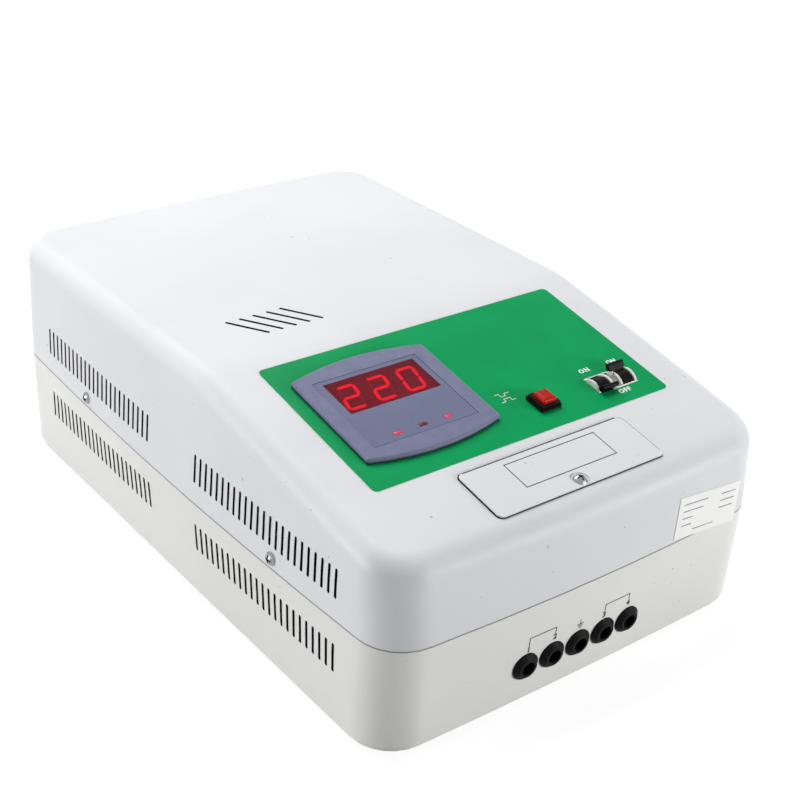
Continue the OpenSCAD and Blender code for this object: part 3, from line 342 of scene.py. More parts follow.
def printed_film(name, base):
    """Reverse-printed film with a fine texture on its face."""
    made = Finish(name, specular=0.05)
    ink = made.tint(base, 0.94, 1.05, 26.0)
    made.colour(ink).cloudy(160.0, 0.3, 0.4, 3.0)
    made.relief(made.noise(1500.0, 2.0), 0.00002, 0.35)
    return made.material


def moulded(name, base, low_rough=0.38, high_rough=0.5, grain=1300.0, depth=0.00003,
            rub=0.06, specular=0.15, foot=0.0):
    """Moulded plastic: spark grain, lighter rubbed patches, and painted shade below a foot line."""
    made = Finish(name, specular=specular)
    body = made.tint(base, 0.93, 1.06, 120.0)
    worn = made.span(made.noise(70.0, 4.0, 0.6), 0.58, 0.75, 0.0, rub)
    body = made.blend(worn, body, shade(base, 1.5, 0.01))
    # Painted shade: below the foot height over the slope the colour turns almost black, for the
    # shadow at the piece's foot
    if foot:
        height = made.math("SUBTRACT", made.over_slope(), foot)
        body = made.blend(made.span(height, mm(-0.7), mm(0.7), 0.0, 1.0), shade(base, 0.06), body)
    made.colour(body)
    made.cloudy(300.0, low_rough, high_rough)
    made.relief(made.noise(grain, 2.0), depth, 0.5)
    return made.material


def zinc_plate(name, base=(0.60, 0.61, 0.63), spangle=900.0):
    """Bright zinc plate: small crystals, faint yellow patches and drawn lines."""
    made = Finish(name, metallic=1.0)
    crystal = made.span(made.cells(spangle), 0.0, 0.6, 0.0, 1.0)
    plate = made.blend(crystal, shade(base, 0.88), shade(base, 1.08))
    patch = made.span(made.noise(60.0, 3.0), 0.5, 0.75, 0.0, 0.35)
    made.colour(made.blend(patch, plate, (base[0], base[1] * 0.95, base[2] * 0.82)))
    made.cloudy(400.0, 0.24, 0.4, 3.0)
    drawn = made.noise(300.0, 2.0, place=made.stretched((1.0, 1.0, 12.0)))
    return made.relief(drawn, 0.00002, 0.4).material


def bright_brass(name, base=(0.62, 0.42, 0.13)):
    """Turned and stamped brass with dull fingerprints."""
    made = Finish(name, metallic=1.0)
    dull = made.span(made.noise(90.0, 4.0), 0.45, 0.7, 0.0, 0.5)
    made.colour(made.blend(dull, base, shade(base, 0.62)))
    made.cloudy(250.0, 0.2, 0.42)
    return made.relief(made.noise(900.0, 2.0), 0.00002, 0.4).material


def soft_rubber(name, base):
    """Matt black rubber with mould bloom."""
    made = Finish(name, specular=0.06)
    bloom = made.span(made.noise(220.0, 4.0, 0.6), 0.5, 0.75, 0.0, 0.12)
    made.colour(made.blend(bloom, made.tint(base, 0.8, 1.25, 60.0), (0.03, 0.03, 0.03)))
    made.cloudy(500.0, 0.42, 0.6)
    return made.relief(made.noise(1100.0, 3.0), 0.00004, 0.5).material


def tinted_pane(name, base):
    """Red acrylic over the digits: mostly clear, a little haze, hairlines on its face."""
    made = Finish(name, specular=0.12)
    made.colour(made.tint(base, 0.92, 1.06, 40.0))
    hair = made.noise(500.0, 1.0, place=made.stretched((1.0, 18.0, 1.0), turn=(0, 0, 0.5)))
    made.rough(made.span(hair, 0.45, 0.8, 0.04, 0.14))
    return made.fixed(Transmission_Weight=0.72, IOR=1.2).material


def light_bar(name, base, strength):
    """Lit resin bar, grainy with scatter."""
    made = Finish(name)
    glow = made.span(made.noise(900.0, 2.0), *CLOUD, 0.0, 1.0)
    lit = made.blend(glow, shade(base, 0.86), base)
    made.colour(lit).rough(made.span(glow, 0.0, 1.0, 0.3, 0.45))
    made.feed(made.shader.inputs["Emission Color"], lit)
    return made.fixed(Emission_Strength=strength).material


def ink(name, base):
    """Screen-printed ink: slightly uneven cover and a dull face."""
    made = Finish(name, specular=0.35)
    thin = made.span(made.noise(1500.0, 3.0, 0.6), 0.55, 0.75, 0.0, 0.25)
    made.colour(made.blend(thin, base, shade(base, 0.75, 0.05)))
    made.cloudy(700.0, 0.45, 0.6)
    return made.relief(made.noise(2200.0, 2.0), 0.00001, 0.4).material


def label_paper(name, base):
    """Coated white paper with faint fibres and a soft sheen."""
    made = Finish(name, specular=0.4)
    fibre = made.span(made.noise(900.0, 4.0, 0.65), 0.4, 0.7, 0.0, 0.35)
    made.colour(made.blend(fibre, base, shade(base, 0.95)))
    made.cloudy(200.0, 0.4, 0.52)
    return made.relief(made.noise(1400.0, 3.0), 0.00002, 0.4).material


def board_resist(name, base=(0.012, 0.115, 0.042)):
    """Circuit board under green resist, with the tracks showing through."""
    made = Finish(name)
    track = made.span(made.cells(260.0, "DISTANCE_TO_EDGE"), 0.03, 0.05, 1.0, 0.0)
    body = made.tint(base, 0.85, 1.15, 40.0)
    made.colour(made.blend(track, body, shade(base, 1.7, 0.01)))
    made.cloudy(120.0, 0.28, 0.42)
    return made.relief(track, 0.00004, 0.5).material


def wound_strip(name, base=(0.17, 0.17, 0.19)):
    """Silicon steel strip wound into a ring, its edges showing as fine circles."""
    made = Finish(name, metallic=0.9)
    rings = made.node("ShaderNodeTexWave", wave_type="RINGS", rings_direction="Z")
    made.feed(rings.inputs["Vector"], made.stretched((1, 1, 1), centre=(0, -RING_Y, 0)))
    for key, value in (("Scale", 420.0), ("Distortion", 0.6), ("Detail", 2.0)):
        rings.inputs[key].default_value = value
    made.colour(made.blend(rings.outputs["Fac"], shade(base, 0.7), shade(base, 1.3)))
    made.cloudy(90.0, 0.35, 0.55, 3.0)
    return made.relief(rings.outputs["Fac"], 0.00008, 0.5).material


def wound_copper(name, base=(0.50, 0.17, 0.05)):
    """Enamelled copper wire laid round the ring, each turn a ridge running out from the middle."""
    made = Finish(name, metallic=0.75)
    x, y, _ = made.split()
    around = made.math("ARCTAN2", made.math("SUBTRACT", y, RING_Y), x)
    turn = made.math("SINE", made.math("MULTIPLY", around, 300.0))
    ridge = made.span(turn, -1.0, 1.0, 0.0, 1.0)
    # Painted shade: the colour darkens in the grooves between the turns, along with the ridge bump
    turns_with_shade = made.blend(ridge, shade(base, 0.45), base)
    aged = made.span(made.noise(35.0, 3.0), 0.45, 0.7, 0.0, 0.5)
    made.colour(made.blend(aged, turns_with_shade, (0.30, 0.12, 0.045)))
    made.cloudy(300.0, 0.25, 0.4)
    made.relief(ridge, 0.0004, 0.8)
    return made.fixed(Coat_Weight=0.6, Coat_Roughness=0.15).material


def shrunk_sleeve(name, base=(0.012, 0.02, 0.075)):
    """Shrunk sleeve with faint run lines up the can."""
    made = Finish(name)
    run = made.noise(180.0, 2.0, place=made.stretched((1.0, 1.0, 0.15)))
    made.colour(made.blend(made.span(run, *CLOUD, 0.0, 1.0), base, shade(base, 1.5, 0.004)))
    made.cloudy(240.0, 0.18, 0.3)
    return made.relief(run, 0.00005, 0.4).material


def black_anodise(name, base=(0.045, 0.045, 0.05)):
    """Extruded aluminium, black anodised, with draw lines."""
    made = Finish(name, metallic=0.85)
    draw = made.noise(260.0, 2.0, place=made.stretched((8.0, 8.0, 0.3)))
    made.colour(made.blend(made.span(draw, *CLOUD, 0.0, 1.0), base, shade(base, 1.5)))
    made.cloudy(180.0, 0.35, 0.5)
    return made.relief(draw, 0.00004, 0.5).material


def coil_tape(name, base=(0.42, 0.27, 0.06)):
    """Amber tape in overlapping turns."""
    made = Finish(name)
    lap = made.node("ShaderNodeTexWave", wave_type="BANDS", bands_direction="Z")
    made.feed(lap.inputs["Vector"], made.place)
    lap.inputs["Scale"].default_value = 90.0
    lap.inputs["Distortion"].default_value = 1.5
    made.colour(made.blend(lap.outputs["Fac"], shade(base, 0.72), base))
    made.cloudy(300.0, 0.22, 0.36)
    return made.relief(lap.outputs["Fac"], 0.00008, 0.4).material


# Modelling by hand

def drop_all():
    """Object mode with nothing selected."""
    if bpy.context.object and bpy.context.object.mode != "OBJECT":
        bpy.ops.object.mode_set(mode="OBJECT")
    bpy.ops.object.select_all(action="DESELECT")


def pick(*pieces):
    drop_all()
    for piece in pieces:
        piece.select_set(True)
    bpy.context.view_layer.objects.active = pieces[0]


def apply_modifier(piece, name, kind, **values):
    pick(piece)
    modifier = piece.modifiers.new(name, kind)
    for key, value in values.items():
        setattr(modifier, key, value)
    bpy.ops.object.modifier_apply(modifier=name)


def round_edges(piece, width, segments=2, angle=38.0):
    """Rounds the sharp edges and weights the normals, so that flat faces stay flat."""
    if width:
        apply_modifier(
            piece, "Edges", "BEVEL", width=width, segments=segments, limit_method="ANGLE",
            angle_limit=math.radians(angle), use_clamp_overlap=True, miter_outer="MITER_ARC")
    pick(piece)
    bpy.ops.object.shade_smooth_by_angle(angle=math.radians(angle))
    apply_modifier(piece, "Normals", "WEIGHTED_NORMAL", keep_sharp=True, weight=70)


def copy_of(node, name, flat=0.0):
    """A copy of a CAD node's mesh, its triangles joined, and flat faces made whole if asked."""
    pick(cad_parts[node])
    bpy.ops.object.duplicate(linked=False)
    piece = bpy.context.active_object
    piece.parent = None
    piece.matrix_world = Matrix.Identity(4)
    for key in [key for key in piece.keys() if key.startswith("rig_")]:
        del piece[key]
    piece.name = piece.data.name = name
    pick(piece)
    bpy.ops.mesh.customdata_custom_splitnormals_clear()
    bpy.ops.object.mode_set(mode="EDIT")
    bpy.ops.mesh.select_all(action="SELECT")
    bpy.ops.mesh.remove_doubles(threshold=2e-6)
    if flat:
        bpy.ops.mesh.dissolve_limited(angle_limit=math.radians(flat))
    bpy.ops.object.mode_set(mode="OBJECT")
    return piece


def settle(piece, place=None):
    """Puts the piece's place into its mesh, so that its object stands at the origin."""
    pick(piece)
    if place is not None:
        piece.matrix_world = place @ piece.matrix_world
    bpy.ops.object.transform_apply(location=True, rotation=True, scale=True)
    return piece


def finish(piece, name, material, body="housing", stands_for=()):
    piece.name = piece.data.name = name
    piece.data.materials.clear()
    piece.data.materials.append(material)
    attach(piece, body)
    if stands_for:
        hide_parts(*stands_for)
    return piece


def shade_inside(piece, material):
    """Gives painted shade to faces that look at the same piece: a shell's inside and slot edges, a
    screw's recess.
    """
    piece.data.materials.append(material)
    for face in piece.data.polygons:
        start = face.center + face.normal * RAY_START
        face.material_index = int(piece.ray_cast(start, face.normal)[0])


def repaint(material, *nodes):
    """Gives CAD nodes that stay as they are a better material."""
    for node in nodes:
        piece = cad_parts[node]
        if not piece.material_slots:
            piece.data.materials.append(material)
        for held in piece.material_slots:
            held.material = material


def join(name, pieces):
    pick(*pieces)
    bpy.ops.object.join()
    made = bpy.context.active_object
    made.name = name
    return made


def slab(size, centre, edge=0.0, segments=2):
    """A block with rounded edges, given its size and the middle of its lowest face."""
    drop_all()
    x, y, z = centre
    bpy.ops.mesh.primitive_cube_add(size=1, location=(x, y, z + size[2] / 2))
    piece = bpy.context.active_object
    piece.scale = size
    settle(piece)
    if edge:
        apply_modifier(piece, "Edges", "BEVEL", width=edge, segments=segments, limit_method="ANGLE")
    return piece


def stroke(start, end, width, thickness, lift):
    """One printed line in its plane, in short lengths that can follow a bowed wall."""
    a, b = Vector(start), Vector(end)
    run = b - a
    drop_all()
    middle = (a + b) / 2
    bpy.ops.mesh.primitive_cube_add(size=1, location=(middle.x, middle.y, lift + thickness / 2))
    piece = bpy.context.active_object
    piece.scale = (run.length + width, width, thickness)
    piece.rotation_euler = (0, 0, math.atan2(run.y, run.x))
    bpy.ops.object.mode_set(mode="EDIT")
    bpy.ops.mesh.subdivide(number_cuts=5)
    bpy.ops.object.mode_set(mode="OBJECT")
    return settle(piece)


def strokes(name, paths, width, thickness, lift):
    """Printed lines through points; each path is a list of points in millimetres."""
    made = []
    for path in paths:
        points = [(mm(x), mm(y)) for x, y in path]
        made += [stroke(a, b, width, thickness, lift) for a, b in zip(points, points[1:])]
    return join(name, made)


def rectangle(left, right, top, low):
    """The path round a rectangle, back to its start."""
    return [(left, top), (right, top), (right, low), (left, low), (left, top)]


def lettering(name, words, height, centre, thickness, lift, spread=1.0):
    """Flat lettering made into a mesh, centred on a point in its plane."""
    drop_all()
    bpy.ops.object.text_add(location=(mm(centre[0]), mm(centre[1]), lift))
    piece = bpy.context.active_object
    piece.data.body = words
    piece.data.size = height * FONT_SIZE
    piece.data.space_character = spread
    piece.data.align_x = "CENTER"
    piece.data.align_y = "CENTER"
    piece.data.resolution_u = 3
    piece.data.extrude = thickness / 2
    piece.data.offset = height * FONT_OFFSET
    bpy.ops.object.convert(target="MESH")
    piece = bpy.context.active_object
    piece.name = name
    return settle(piece)


class StabilizerStep:
    """Shared by the operators: each can be undone."""
    bl_options = {"REGISTER", "UNDO"}


class STABILIZER_OT_shells(StabilizerStep, bpy.types.Operator):
    """Paint the cover and the tray, and the hatch plate on the slope"""
    bl_idname = "stabilizer.shells"
    bl_label = "Cover, tray and hatch"

    def execute(self, context):
        cover_paint = powder_coat("cover_paint", colours().cover)
        tray_paint = powder_coat("tray_paint", colours().tray)
        inside_shade = shade_lining("shade_lining")
        for node, name, paint, slot in (
                ("top_cover", "cover_shell", cover_paint, "cover_paint"),
                ("base_tray", "tray_shell", tray_paint, "tray_paint")):
            shell = copy_of(node, name)
            round_edges(shell, 0.0, angle=30.0)
            finish(shell, name, paint, stands_for=(node,))
            # Painted shade: faces inside the shell and on its slot walls get the near-black lining
            shade_inside(shell, inside_shade)
        plate = copy_of("terminal_hatch", "hatch_plate", flat=0.4)
        round_edges(plate, sizes().plate_edge)
        finish(plate, "hatch_plate", cover_paint, stands_for=("terminal_hatch",))
        return {"FINISHED"}


class STABILIZER_OT_fasteners(StabilizerStep, bpy.types.Operator):
    """Plate the side screws and the hatch screw, and smooth their heads"""
    bl_idname = "stabilizer.fasteners"
    bl_label = "Screws on the outside"

    def execute(self, context):
        plate = zinc_plate("zinc_plate", (0.27, 0.275, 0.28))
        screw_shade = shade_lining("screw_recess_shade")
        for node, name in (("cover_screws", "side_screws"), ("hatch_screw", "hatch_fixing")):
            screws = copy_of(node, name)
            round_edges(screws, 0.0, angle=ROUND_ANGLE)
            finish(screws, name, plate, stands_for=(node,))
            # Painted shade: the faces of each screw's recess get the near-black lining
            shade_inside(screws, screw_shade)
        return {"FINISHED"}


class STABILIZER_OT_film(StabilizerStep, bpy.types.Operator):
    """Print the green film and the marks on it"""
    bl_idname = "stabilizer.film"
    bl_label = "Panel film and its marks"

    def execute(self, context):
        repaint(printed_film("panel_green", colours().film), "front_film")
        white = ink("white_ink", colours().print_white)
        thick, lift = sizes().print_t, FILM_FACE + mm(0.005)
        steps = strokes("step_marks", [
            [(4.8, -86.6), (7.4, -86.6), (7.4, -89.2), (10.6, -89.2), (10.9, -87.2), (14.2, -87.2)],
            [(4.7, -93.8), (7.4, -93.8), (7.4, -91.4), (11.9, -91.4), (11.9, -93.8), (14.4, -93.8)],
        ], sizes().step_w, thick, lift)
        words = [
            lettering("word", body, mm(3.1), place, thick, lift, spread)
            for body, place, spread in (
                ("ON", (69.6, -90.3), 1.25),
                ("ON", (91.2, -90.3), 1.1),
                ("OFF", (79.2, -115.1), 1.25))]
        marks = settle(join("panel_marks", [steps, *words]), PANEL)
        finish(marks, "panel_marks", white)
        return {"FINISHED"}


def light_bars(name, digits):
    """The bars of the digits, slanted and mitred, in the wells of the digit modules."""
    width, thick = sizes().bar_w, sizes().bar_t
    half_w, half_h, slant = mm(5.35), mm(9.25), math.tan(math.radians(10))
    made = bmesh.new()
    for index, lit in enumerate(digits):
        shift = (index - 1) * sizes().digit_pitch
        for bar in lit:
            across, up = BARS[bar]
            half, gap = width / 2, mm(0.12)
            if across == 0:
                reach, place = half_w - gap, (0, up * half_h)
                outline = [(-reach, 0), (half - reach, -half), (reach - half, -half), (reach, 0),
                           (reach - half, half), (half - reach, half)]
            else:
                reach, place = half_h / 2 - gap, (across * half_w, up * half_h / 2)
                outline = [(0, -reach), (half, half - reach), (half, reach - half), (0, reach),
                           (-half, reach - half), (-half, half - reach)]
            points = [(x + place[0], y + place[1]) for x, y in outline]
            made.faces.new([made.verts.new((shift + x + slant * y, y, 0)) for x, y in points])
    mesh = bpy.data.meshes.new(name)
    made.to_mesh(mesh)
    made.free()
    piece = bpy.data.objects.new(name, mesh)
    bpy.context.scene.collection.objects.link(piece)
    pick(piece)
    bpy.ops.object.mode_set(mode="EDIT")
    bpy.ops.mesh.select_all(action="SELECT")
    bpy.ops.mesh.extrude_region_move(TRANSFORM_OT_translate={"value": (0, 0, thick)})
    bpy.ops.mesh.select_all(action="SELECT")
    bpy.ops.mesh.normals_make_consistent(inside=False)
    bpy.ops.object.mode_set(mode="OBJECT")
    apply_modifier(piece, "Edges", "BEVEL", width=mm(0.05), segments=2, limit_method="ANGLE")
    return settle(piece, DISPLAY @ Matrix.Translation(DIGITS_PLACE))


class STABILIZER_OT_display(StabilizerStep, bpy.types.Operator):
    """Build the bezel, its pane, the lit and dark bars of the digits and the three lamps"""
    bl_idname = "stabilizer.display"
    bl_label = "Display"

    def execute(self, context):
        # The foot puts painted shade on the bezel's lower sides
        plastic = moulded(
            "bezel_plastic", colours().bezel, 0.4, 0.52,
            grain=1500.0, depth=0.00002, rub=0.04, foot=mm(1.6))
        bezel = copy_of("display_bezel", "bezel_frame")
        round_edges(bezel, 0.0, angle=ROUND_ANGLE)
        finish(bezel, "bezel_frame", plastic, stands_for=("display_bezel",))
        repaint(printed_film("bezel_film", colours().bezel), "bezel_film")
        # Painted shade: a thin dark line round the recess edge stands in for the shadow in the gap
        # round the bezel film
        path = rectangle(-35.4, 34.3, 29.6, -29.6)
        recess_shadow = settle(strokes("recess_line", [path], mm(0.3), sizes().print_t, mm(3.6)), DISPLAY)
        finish(recess_shadow, "recess_line", ink("recess_shadow_ink", (0.04, 0.045, 0.075)))
        pane = copy_of("display_window", "display_pane", flat=0.4)
        round_edges(pane, sizes().edge)
        red = tinted_pane("red_pane", colours().pane)
        finish(pane, "display_pane", red, stands_for=("display_window",))
        repaint(moulded("digit_face", (0.05, 0.045, 0.05), 0.45, 0.6), "digit_modules")
        lit = light_bars("lit_bars", LIT)
        finish(lit, "lit_bars", light_bar("lit_resin", colours().light, 3.0))
        dark = light_bars("dark_bars", [sorted(set(BARS) - set(bars)) for bars in LIT])
        resin = moulded("dark_resin", (0.34, 0.2, 0.2), 0.35, 0.5)
        finish(dark, "dark_bars", resin)
        lamps = {"lit_lamps": [], "dark_lamp": []}
        y, low, high = mm(-24.5), mm(-7.6), mm(3.75)
        for index in (-1, 0, 1):
            x = index * sizes().lamp_pitch
            lens = slab((mm(5), mm(2.5), high - low), (x, y, low), mm(0.4), 3)
            foot = slab((mm(6), mm(3.5), mm(4)), (x, y, low), mm(0.2))
            lamps["lit_lamps" if index else "dark_lamp"] += [lens, foot]
        for name, parts in lamps.items():
            piece = settle(join(name, parts), DISPLAY)
            pick(piece)
            bpy.ops.object.shade_smooth_by_angle(angle=math.radians(40))
            if name == "lit_lamps":
                resin = light_bar("lit_lamp", (0.7, 0.002, 0.05), 0.15)
            else:
                resin = moulded("dark_lamp", (0.16, 0.008, 0.016), 0.2, 0.3)
            finish(piece, name, resin, stands_for=("indicator_leds",))
        return {"FINISHED"}


class STABILIZER_OT_button(StabilizerStep, bpy.types.Operator):
    """Round the red cap and its black frame"""
    bl_idname = "stabilizer.button"
    bl_label = "Push button"

    def execute(self, context):
        cap = copy_of("button_cap", "button_key", flat=0.4)
        round_edges(cap, sizes().cap_edge, segments=3, angle=MOULDED_ANGLE)
        red = moulded(
            "button_red", colours().cap, 0.24, 0.34,
            grain=900.0, depth=0.00001, rub=0.02, specular=0.12)
        finish(cap, "button_key", red, body="button", stands_for=("button_cap",))
        shell = copy_of("button_housing", "button_frame", flat=0.4)
        round_edges(shell, sizes().edge)
        black = moulded("frame_black", colours().black, 0.38, 0.52, rub=0.03, specular=0.08)
        finish(shell, "button_frame", black, stands_for=("button_housing",))
        return {"FINISHED"}


class STABILIZER_OT_breakers(StabilizerStep, bpy.types.Operator):
    """Round the white collars and the toggles, and set the white lips and the rivet by them"""
    bl_idname = "stabilizer.breakers"
    bl_label = "Breakers and toggles"

    def execute(self, context):
        white = moulded("breaker_white", colours().white, 0.35, 0.48, rub=0.02)
        black = moulded("toggle_black", colours().black, 0.34, 0.46, rub=0.03, specular=0.06)
        for side, body in (("bypass", "bypass_lever"), ("mains", "mains_lever")):
            case = copy_of(side + "_breaker", side + "_case", flat=0.4)
            round_edges(case, sizes().edge)
            finish(case, side + "_case", white, stands_for=(side + "_breaker",))
            toggle = copy_of(side + "_toggle", side + "_handle", flat=0.4)
            round_edges(toggle, sizes().toggle_edge, angle=MOULDED_ANGLE)
            finish(toggle, side + "_handle", black, body=body,
                   stands_for=(side + "_toggle",))
        lips = [
            slab((mm(19.4), mm(0.9), mm(0.32)), (mm(83.3), mm(-111.35), mm(0.41)), mm(0.08)),
            slab((mm(29.8), mm(0.95), mm(0.6)), (mm(78.3), mm(-96.92), mm(-0.25)), mm(0.1)),
        ]
        finish(settle(join("opening_lips", lips), PANEL), "opening_lips", white)
        drop_all()
        bpy.ops.mesh.primitive_cylinder_add(
            vertices=24, radius=mm(0.62), depth=mm(0.4),
            location=(mm(80.6), mm(-102.9), mm(3.3)), rotation=(math.radians(-7), 0, 0))
        rivet = settle(context.active_object, PANEL)
        finish(rivet, "collar_rivet", black)
        return {"FINISHED"}


class STABILIZER_OT_grommets(StabilizerStep, bpy.types.Operator):
    """Smooth the rubber grommets and print the marks above them"""
    bl_idname = "stabilizer.grommets"
    bl_label = "Cable grommets and their marks"

    def execute(self, context):
        rings = copy_of("cable_grommets", "grommet_rings")
        round_edges(rings, 0.0, angle=34.0)
        rubber = soft_rubber("grommet_rubber", colours().rubber)
        finish(rings, "grommet_rings", rubber, stands_for=("cable_grommets",))
        wide, thick = sizes().line_w, sizes().print_t
        lines = strokes("lines", [
            [(-42.5, 40.4), (-42.5, 45.7), (-24.3, 45.7), (-24.3, 42.2)],
            [(11.8, 41.2), (11.8, 45.7), (30.0, 45.7), (30.0, 42.2)],
            [(-6.1, 42.9), (-6.1, 40.0)], [(-8.2, 40.0), (-4.0, 40.0)],
            [(-7.5, 38.9), (-4.7, 38.9)], [(-6.8, 37.8), (-5.4, 37.8)],
        ], wide, thick, 0.0)
        figures = [
            lettering("figure", body, mm(3.5), place, thick, 0.0)
            for body, place in (
                ("1", (-42.5, 37.9)), ("2", (-24.3, 39.3)),
                ("3", (11.8, 38.6)), ("4", (30.0, 39.3)))]
        marks = join("terminal_marks", [lines, *figures])
        lay_on_wall(marks, "tray_shell", mm(0.05))
        finish(marks, "terminal_marks", ink("dark_ink", colours().print_dark))
        return {"FINISHED"}


def wall_hit(shell, start, aim):
    """The point where a ray from inside the housing last meets a shell, or nothing."""
    reach, found = Vector(start), None
    while True:
        hit, point, _, _ = shell.ray_cast(reach, Vector(aim))
        if not hit:
            return found
        found = point
        reach = point + Vector(aim) * RAY_STEP


def lay_on_wall(piece, shell, lift):
    """Turns a flat mark drawn in X and height into one that lies on the cable end's wall."""
    wall = bpy.data.objects[shell]
    for vertex in piece.data.vertices:
        x, z, out = vertex.co
        point = wall_hit(wall, (x, INSIDE_Y, z), (0, -1, 0))
        vertex.co = (x, point.y - lift - out, z)
    pick(piece)
    bpy.ops.object.mode_set(mode="EDIT")
    bpy.ops.mesh.select_all(action="SELECT")
    bpy.ops.mesh.normals_make_consistent(inside=False)
    bpy.ops.object.mode_set(mode="OBJECT")


class STABILIZER_OT_label(StabilizerStep, bpy.types.Operator):
    """Lay a ruled paper label, stuck on askew, over the right end of the cover and its lip"""
    bl_idname = "stabilizer.label"
    bl_label = "Paper label"

    def execute(self, context):
        shells = [bpy.data.objects[name] for name in ("cover_shell", "tray_shell")]
        corner_x, corner_y, turn_r = 0.1085, 0.1805, 0.027
        bridged = mm(2.2)
        wide, high, start = sizes().label_w, sizes().label_h, Vector((0.0587, 0.0702))
        spin = Matrix.Rotation(math.radians(-6.9), 2)

        def lay(u, v, lift):
            along, z = start + spin @ Vector((u, v))
            angle = max(0.0, (along - corner_x) / turn_r)
            aim = Vector((math.sin(angle), -math.cos(angle), 0))
            found = []
            for level in (z - bridged, z, z + bridged):
                begin = Vector((min(along, corner_x), FRAME_Y - corner_y, level))
                hits = [wall_hit(shell, begin, aim) for shell in shells]
                found += [(hit - begin).length for hit in hits if hit is not None]
            return Vector((begin.x, begin.y, z)) + aim * (max(found) + lift)

        def sheet(name, low, high_corner, columns, rows, lift):
            drop_all()
            bpy.ops.mesh.primitive_grid_add(x_subdivisions=columns, y_subdivisions=rows, size=2)
            piece = bpy.context.active_object
            for vertex in piece.data.vertices:
                u = low[0] + (vertex.co.x + 1) / 2 * (high_corner[0] - low[0])
                v = low[1] + (vertex.co.y + 1) / 2 * (high_corner[1] - low[1])
                vertex.co = lay(u, v, lift)
            piece.name = name
            pick(piece)
            apply_modifier(piece, "Paper", "SOLIDIFY", thickness=mm(0.06), offset=-1)
            bpy.ops.object.shade_smooth_by_angle(angle=math.radians(50))
            return piece

        paper = sheet("paper_label", (0, 0), (wide, high), 48, 12, mm(0.14))
        finish(paper, "paper_label", label_paper("label_paper", colours().paper))
        rules = []
        for low, end, level in LABEL_RULES:
            corner = (wide * end, high * level + mm(0.55))
            rules.append(sheet("rule", (wide * low, high * level), corner, 12, 1, mm(0.2)))
        ruled = join("label_rules", rules)
        finish(ruled, "label_rules", ink("grey_ink", (0.16, 0.16, 0.18)))
        return {"FINISHED"}


class STABILIZER_OT_hatch_print(StabilizerStep, bpy.types.Operator):
    """Lay a dark ring of painted shade under the hatch plate's rim, print the plain frame on the
    plate, and paint shadow lines along its top and right edges
    """
    bl_idname = "stabilizer.hatch_print"
    bl_label = "Hatch shade and frame"

    def execute(self, context):
        # Painted shade: a dark ring just under the plate's rim stands in for the shadow beneath it
        drop_all()
        bpy.ops.mesh.primitive_plane_add(size=1, location=(mm(-0.2), mm(-150.45), mm(0.02)))
        under_rim_shade = context.active_object
        under_rim_shade.scale = (mm(118), mm(37.7), 1)
        settle(under_rim_shade)
        bpy.ops.object.mode_set(mode="EDIT")
        bpy.ops.mesh.bevel(offset=mm(4), segments=6, affect="VERTICES")
        bpy.ops.mesh.inset(thickness=mm(5))
        bpy.ops.mesh.delete(type="FACE")
        bpy.ops.mesh.select_all(action="SELECT")
        bpy.ops.mesh.extrude_region_move(TRANSFORM_OT_translate={"value": (0, 0, mm(0.45))})
        bpy.ops.mesh.select_all(action="SELECT")
        bpy.ops.mesh.normals_make_consistent(inside=False)
        bpy.ops.object.mode_set(mode="OBJECT")
        settle(under_rim_shade, PANEL)
        rubber = soft_rubber("under_shade_black", colours().rubber)
        finish(under_rim_shade, "hatch_seal", rubber)
        thick, lift = sizes().print_t, HATCH_FACE + mm(0.005)
        dark = ink("hatch_ink", colours().print_dark)
        path = rectangle(-30.5, 33.5, -137.1, -156.4)
        box = strokes("hatch_frame", [path], sizes().line_w, thick, lift)
        finish(settle(box, PANEL), "hatch_frame", dark)
        # Painted shadow: dark lines along the plate's top edge and down its right edge
        turn = (53.5, -132.75)
        edge = strokes("hatch_edge", [[(-55.0, turn[1]), turn]], sizes().line_w, thick, lift)
        path = [turn, (56.2, -133.5), (57.6, -134.8), (58.0, -137.0), (58.0, -165.0)]
        rim_shadow = strokes("hatch_rim", [path], mm(0.26), thick, lift)
        finish(settle(join("hatch_edge", [edge, rim_shadow]), PANEL), "hatch_edge", dark)
        return {"FINISHED"}


class STABILIZER_OT_inside(StabilizerStep, bpy.types.Operator):
    """Finish the pieces inside the housing"""
    bl_idname = "stabilizer.inside"
    bl_label = "Pieces inside"

    def execute(self, context):
        repaint(zinc_plate("galvanised", (0.56, 0.57, 0.59), 420.0),
                "breaker_rail", "breaker_bracket", "terminal_bracket", "transformer_clamp")
        repaint(zinc_plate("small_zinc"),
                "lip_nuts", "hatch_nut", "display_screws", "toggle_pins", "earth_stud",
                "earth_nuts", "transformer_stud", "transformer_nut", "board_screws")
        repaint(bright_brass("contact_brass"),
                "button_contacts", "breaker_screws", "terminal_clamps", "terminal_screws",
                "board_posts")
        repaint(board_resist("board_resist"), "display_board", "control_board")
        repaint(moulded("terminal_black", (0.02, 0.02, 0.023)), "terminal_block", "board_chips")
        repaint(moulded("socket_white", colours().white), "board_sockets")
        repaint(soft_rubber("pad_rubber", colours().rubber), "transformer_pads")
        repaint(wound_strip("wound_strip"), "transformer_core")
        repaint(wound_copper("wound_copper"), "transformer_winding")
        repaint(moulded("relay_case", (0.012, 0.015, 0.024), 0.3, 0.42), "power_relays")
        repaint(shrunk_sleeve("shrunk_sleeve"), "board_capacitors")
        repaint(black_anodise("black_anodise"), "board_heatsink")
        repaint(coil_tape("coil_tape"), "supply_transformer")
        return {"FINISHED"}


